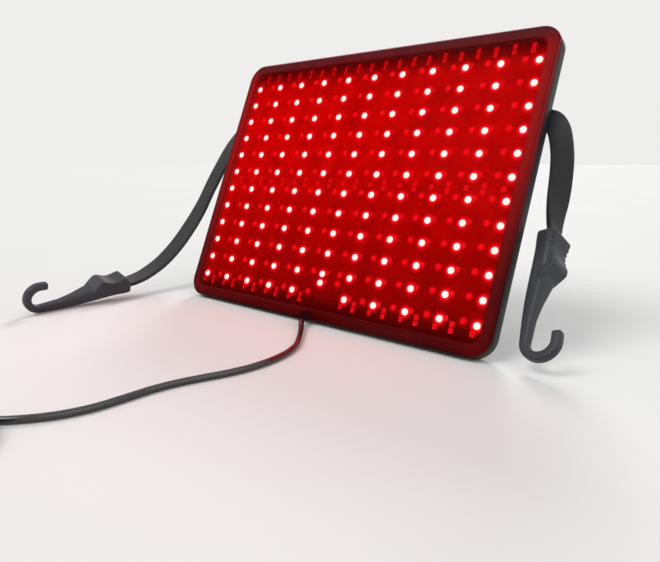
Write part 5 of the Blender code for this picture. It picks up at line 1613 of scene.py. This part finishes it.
class PANEL_OT_hooks(Operator):
    """Add the two moulded strap hooks"""

    bl_idname = "light_panel.hooks"
    bl_label = "Moulded hooks"

    def execute(self, context):
        finish = finishes()["moulded_hook"]
        for side, place in zip(("left", "right"), hook_places()):
            item = self.add_hook(context, "moulded_hook_%s" % side, finish)
            item.data.transform(place)
            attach(item, "panel")
            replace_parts(item, "hook_%s" % side)
        return {"FINISHED"}

    def add_hook(self, context, name, finish):
        bm = bmesh.new()
        self.draw_shank(context, bm)
        self.draw_tab(context, bm)
        self.draw_ridges(context, bm)
        item = piece(name, bm, [finish], body=None)
        mould(item, MOULD_VOXEL, MOULD_PASSES)
        carve(item, self.mouth_cutter(context))
        return item

    def draw_shank(self, context, bm):
        """Box, tapering shank, round bend and tip, drawn as one changing section."""
        strap = context.scene.strap_sizes
        long, tall = strap.hook_length, strap.hook_height
        bar, bar_width = strap.hook_bar, strap.hook_bar_width
        # Each station: its centre along and up the hook, which way it runs, its width and its thickness
        stations = []
        for along, low, high, wide in catmull_rom([Vector(row) for row in SHANK_SHARES], 5):
            stations.append((along * long, (low + high) / 2 * tall, (1, 0, 0), wide * strap.hook_width,
                             (high - low) * tall))
        bend = (tall - bar) / 2
        bend_x = long - tall / 2
        steps = 22
        for step in range(steps + 1):
            angle = -pi / 2 + pi * step / steps
            stations.append((bend_x + bend * cos(angle), tall / 2 + bend * sin(angle),
                             (-sin(angle), 0, cos(angle)), bar_width, bar))
        for share, thick in TIP_STEPS:
            stations.append((bend_x - share * HOOK_TIP_SHARE * long, tall / 2 + bend, (-1, 0, 0),
                             bar_width * thick, bar * thick))
        side = Vector((0, 1, 0))
        placements = [facing(Vector((x, 0, z)), Vector(way), side, wide, thick)
                      for x, z, way, wide, thick in stations]
        sweep(bm, rounded_plate(bm, 1.0, 1.0, 0.26, 4), placements)

    def saddle_at(self, context, span, share):
        """A place along the saddle of the thumb tab, and its height there."""
        strap = context.scene.strap_sizes
        start, end = span
        x = (start + (end - start) * share) * strap.hook_length
        return x, TAB_SADDLE_SHARE * strap.hook_height - strap.saddle_dip * sin(pi * share)

    def draw_tab(self, context, bm):
        """The thumb tab on the box: ramp, hollow saddle and heel."""
        strap = context.scene.strap_sizes
        long, tall = strap.hook_length, strap.hook_height
        half = strap.hook_width * TAB_WIDTH_SHARE / 2
        steps = 16
        points = [(along * long, up * tall) for along, up in TAB_RAMP_SHARES]
        points += [self.saddle_at(context, TAB_SADDLE_SPAN, i / steps) for i in range(steps + 1)]
        points += [(along * long, up * tall) for along, up in TAB_HEEL_SHARES]
        face = bm.faces.new([bm.verts.new((x, -half, z)) for x, z in points])
        far = moved_face(bmesh.ops.extrude_face_region(bm, geom=[face]))
        bmesh.ops.translate(bm, vec=(0, 2 * half, 0), verts=list(far.verts))
        round_edges(bm, set(face.edges) | set(far.edges), TAB_ROUND, 2)

    def draw_ridges(self, context, bm):
        """Grip ridges across the saddle that run a little way down both sides."""
        strap = context.scene.strap_sizes
        wide = strap.hook_width * TAB_WIDTH_SHARE + 2 * strap.ridge_rise
        foot = RIDGE_FOOT_SHARE * strap.hook_height
        for i in range(RIDGES):
            x, saddle = self.saddle_at(context, RIDGE_SPAN, (i + 0.5) / RIDGES)
            top = saddle + RIDGE_PROUD
            block(bm, strap.ridge_width, wide, top - foot, (x, 0, (top + foot) / 2), RIDGE_ROUND, 2)

    def mouth_cutter(self, context):
        """The slot that the strap runs into, open towards it."""
        strap = context.scene.strap_sizes
        clear, before = 0.0004, 0.0020
        middle = Vector(((strap.mouth_depth - before) / 2, 0, mouth_height()))
        bm = bmesh.new()
        block(bm, strap.mouth_depth + before, strap.width + 2 * clear, strap.thickness + 2 * clear, middle)
        return piece("mouth_cutter", bm, [], body=None)


# Back of the panel


def open_stand_matrix():
    """The stand's own frame: X along the hinge, legs along -Y."""
    housing = bpy.context.scene.housing_sizes
    stand = bpy.context.scene.stand_sizes
    pivot = panel_matrix() @ Vector((0, stand.hinge_height, -housing.depth - stand.pivot_lift))
    drop = pivot.z - stand.sleeve_radius - stand.rib
    opening = acos(drop / stand.leg) + housing.lean
    return Matrix.Translation(pivot) @ Matrix.Rotation(pi / 2 - housing.lean + opening, 4, "X")


def arc(centre, radius, start, end, steps):
    return [centre + Vector((radius * cos(start + (end - start) * i / steps),
                             radius * sin(start + (end - start) * i / steps), 0)) for i in range(steps + 1)]


class PANEL_OT_stand(Operator):
    """Add the wire stand and its rubber foot sleeve, and finish its clips"""

    bl_idname = "light_panel.stand"
    bl_label = "Wire stand"

    def execute(self, context):
        made = finishes()
        self.add_wire(context, made["plated_steel"])
        self.add_sleeve(context, made["soft_rubber"])
        for node in ("stand_clip_left", "stand_clip_right"):
            give_finish(node, made["moulded_case"])
        return {"FINISHED"}

    def add_wire(self, context, finish):
        """One bent wire: two pins that point inwards, two legs and the foot."""
        stand = context.scene.stand_sizes
        half, foot = stand.width / 2, -stand.leg
        bend, pin_bend = stand.bend, stand.pin_bend
        pin = half - stand.pin
        run = [Vector((-pin, 0, 0))]
        for x, y, radius, start, steps in (
            (-half + pin_bend, -pin_bend, pin_bend, pi / 2, 8),
            (-half + bend, foot + bend, bend, pi, 14),
            (half - bend, foot + bend, bend, 1.5 * pi, 14),
            (half - pin_bend, -pin_bend, pin_bend, 0, 8),
        ):
            run += arc(Vector((x, y, 0)), radius, start, start + pi / 2, steps)
        run.append(Vector((pin, 0, 0)))
        placements = []
        last = len(run) - 1
        for i, point in enumerate(run):
            before = (point - run[i - 1]).normalized() if i else (run[1] - run[0]).normalized()
            after = (run[i + 1] - point).normalized() if i < last else before
            placements.append(facing(point, before + after, Vector((0, 0, 1)), stand.wire, stand.wire))
        bm = bmesh.new()
        sweep(bm, round_plate(bm, 1.0, 24), placements)
        item = piece("wire_frame", bm, [finish], body="stand", place=open_stand_matrix(), angle=50)
        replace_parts(item, "stand_wire")

    def add_sleeve(self, context, finish):
        """The ribbed rubber sleeve round the foot."""
        stand = context.scene.stand_sizes
        half, bore, core = stand.sleeve_length / 2, stand.wire + SEAT_GAP, stand.sleeve_radius
        step = stand.sleeve_length / SLEEVE_RIBS
        stations = [(bore, -half), (core - stand.rib, -half)]
        for i in range(SLEEVE_RIBS):
            stations += [(core + stand.rib * lift, -half + step * (i + share)) for share, lift in RIB_OUTLINE]
        stations += [(core - stand.rib, half), (bore, half), (bore, -half)]
        bm = bmesh.new()
        turn(bm, stations, 32)
        along_foot = Matrix.Translation((0, -stand.leg, 0)) @ Matrix.Rotation(pi / 2, 4, "Y")
        item = piece("foot_sleeve", bm, [finish], body="stand", place=open_stand_matrix() @ along_foot)
        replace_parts(item, "stand_foot_sleeve")


class PANEL_OT_fastenings(Operator):
    """Add the screw heads with their driver recesses and finish the strap guides"""

    bl_idname = "light_panel.fastenings"
    bl_label = "Screws and strap guides"

    def execute(self, context):
        made = finishes()
        for node in ("strap_guide_left", "strap_guide_right"):
            give_finish(node, made["moulded_case"])
        for stem, count, name in SCREW_KINDS:
            self.add_heads(name, node_names(stem, count), made["plated_steel"])
        return {"FINISHED"}

    def add_heads(self, name, nodes, finish):
        """One domed head with a cross recess on each of the nodes, seen from behind."""
        seats = [screw_seat(node) for node in nodes]
        _, radius, thick = seats[0]
        bm = bmesh.new()
        turn(bm, [(radius * out, thick * up) for out, up in HEAD_OUTLINE], 24)
        head = piece(name, bm, [finish], body=None)
        for long, wide in ((RECESS_LENGTH, RECESS_WIDTH), (RECESS_WIDTH, RECESS_LENGTH)):
            bm = bmesh.new()
            block(bm, radius * long, radius * wide, thick, (0, 0, thick * 0.98))
            carve(head, piece("recess_cutter", bm, [], body=None))
        bm = bmesh.new()
        bm.from_mesh(head.data)
        bpy.data.objects.remove(head, do_unlink=True)
        bmesh.ops.transform(bm, matrix=Matrix.Rotation(pi, 4, "X"), verts=bm.verts)
        turns = [DRIVER_STEP * i for i in range(len(seats))]
        scatter(bm, [place for place, _, _ in seats], turns)
        item = piece(name, bm, [finish], place=panel_matrix())
        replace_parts(item, *nodes)


class VIEW3D_PT_light_panel(Panel):
    """Lists the steps that dress the panel"""

    bl_label = "Light panel"
    bl_idname = "VIEW3D_PT_light_panel"
    bl_space_type = "VIEW_3D"
    bl_region_type = "UI"
    bl_category = "Light panel"

    def draw(self, context):
        for step in STEPS:
            self.layout.operator(step.bl_idname)
        for group in GROUPS:
            settings = getattr(context.scene, group)
            box = self.layout.box()
            box.label(text=settings.bl_rna.name)
            for name in settings.__annotations__:
                box.prop(settings, name)


STEPS = (
    PANEL_OT_stage,
    PANEL_OT_cord,
    PANEL_OT_housing,
    PANEL_OT_board,
    PANEL_OT_strap,
    PANEL_OT_hooks,
    PANEL_OT_stand,
    PANEL_OT_fastenings,
)
GROUPS = {
    "housing_sizes": HousingSizes,
    "light_sizes": LightSizes,
    "strap_sizes": StrapSizes,
    "cord_sizes": CordSizes,
    "stand_sizes": StandSizes,
    "panel_colours": PanelColours,
}
CLASSES = (*GROUPS.values(), *STEPS, VIEW3D_PT_light_panel)


def register():
    for item in CLASSES:
        bpy.utils.register_class(item)
    for name, group in GROUPS.items():
        setattr(bpy.types.Scene, name, PointerProperty(type=group))


def unregister():
    for name in GROUPS:
        delattr(bpy.types.Scene, name)
    for item in reversed(CLASSES):
        bpy.utils.unregister_class(item)


def main():
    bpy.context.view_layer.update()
    register()
    bpy.ops.light_panel.stage()
    bpy.ops.light_panel.cord()
    bpy.ops.light_panel.housing()
    bpy.ops.light_panel.board()
    bpy.ops.light_panel.strap()
    bpy.ops.light_panel.hooks()
    bpy.ops.light_panel.stand()
    bpy.ops.light_panel.fastenings()


if __name__ == "__main__":
    main()
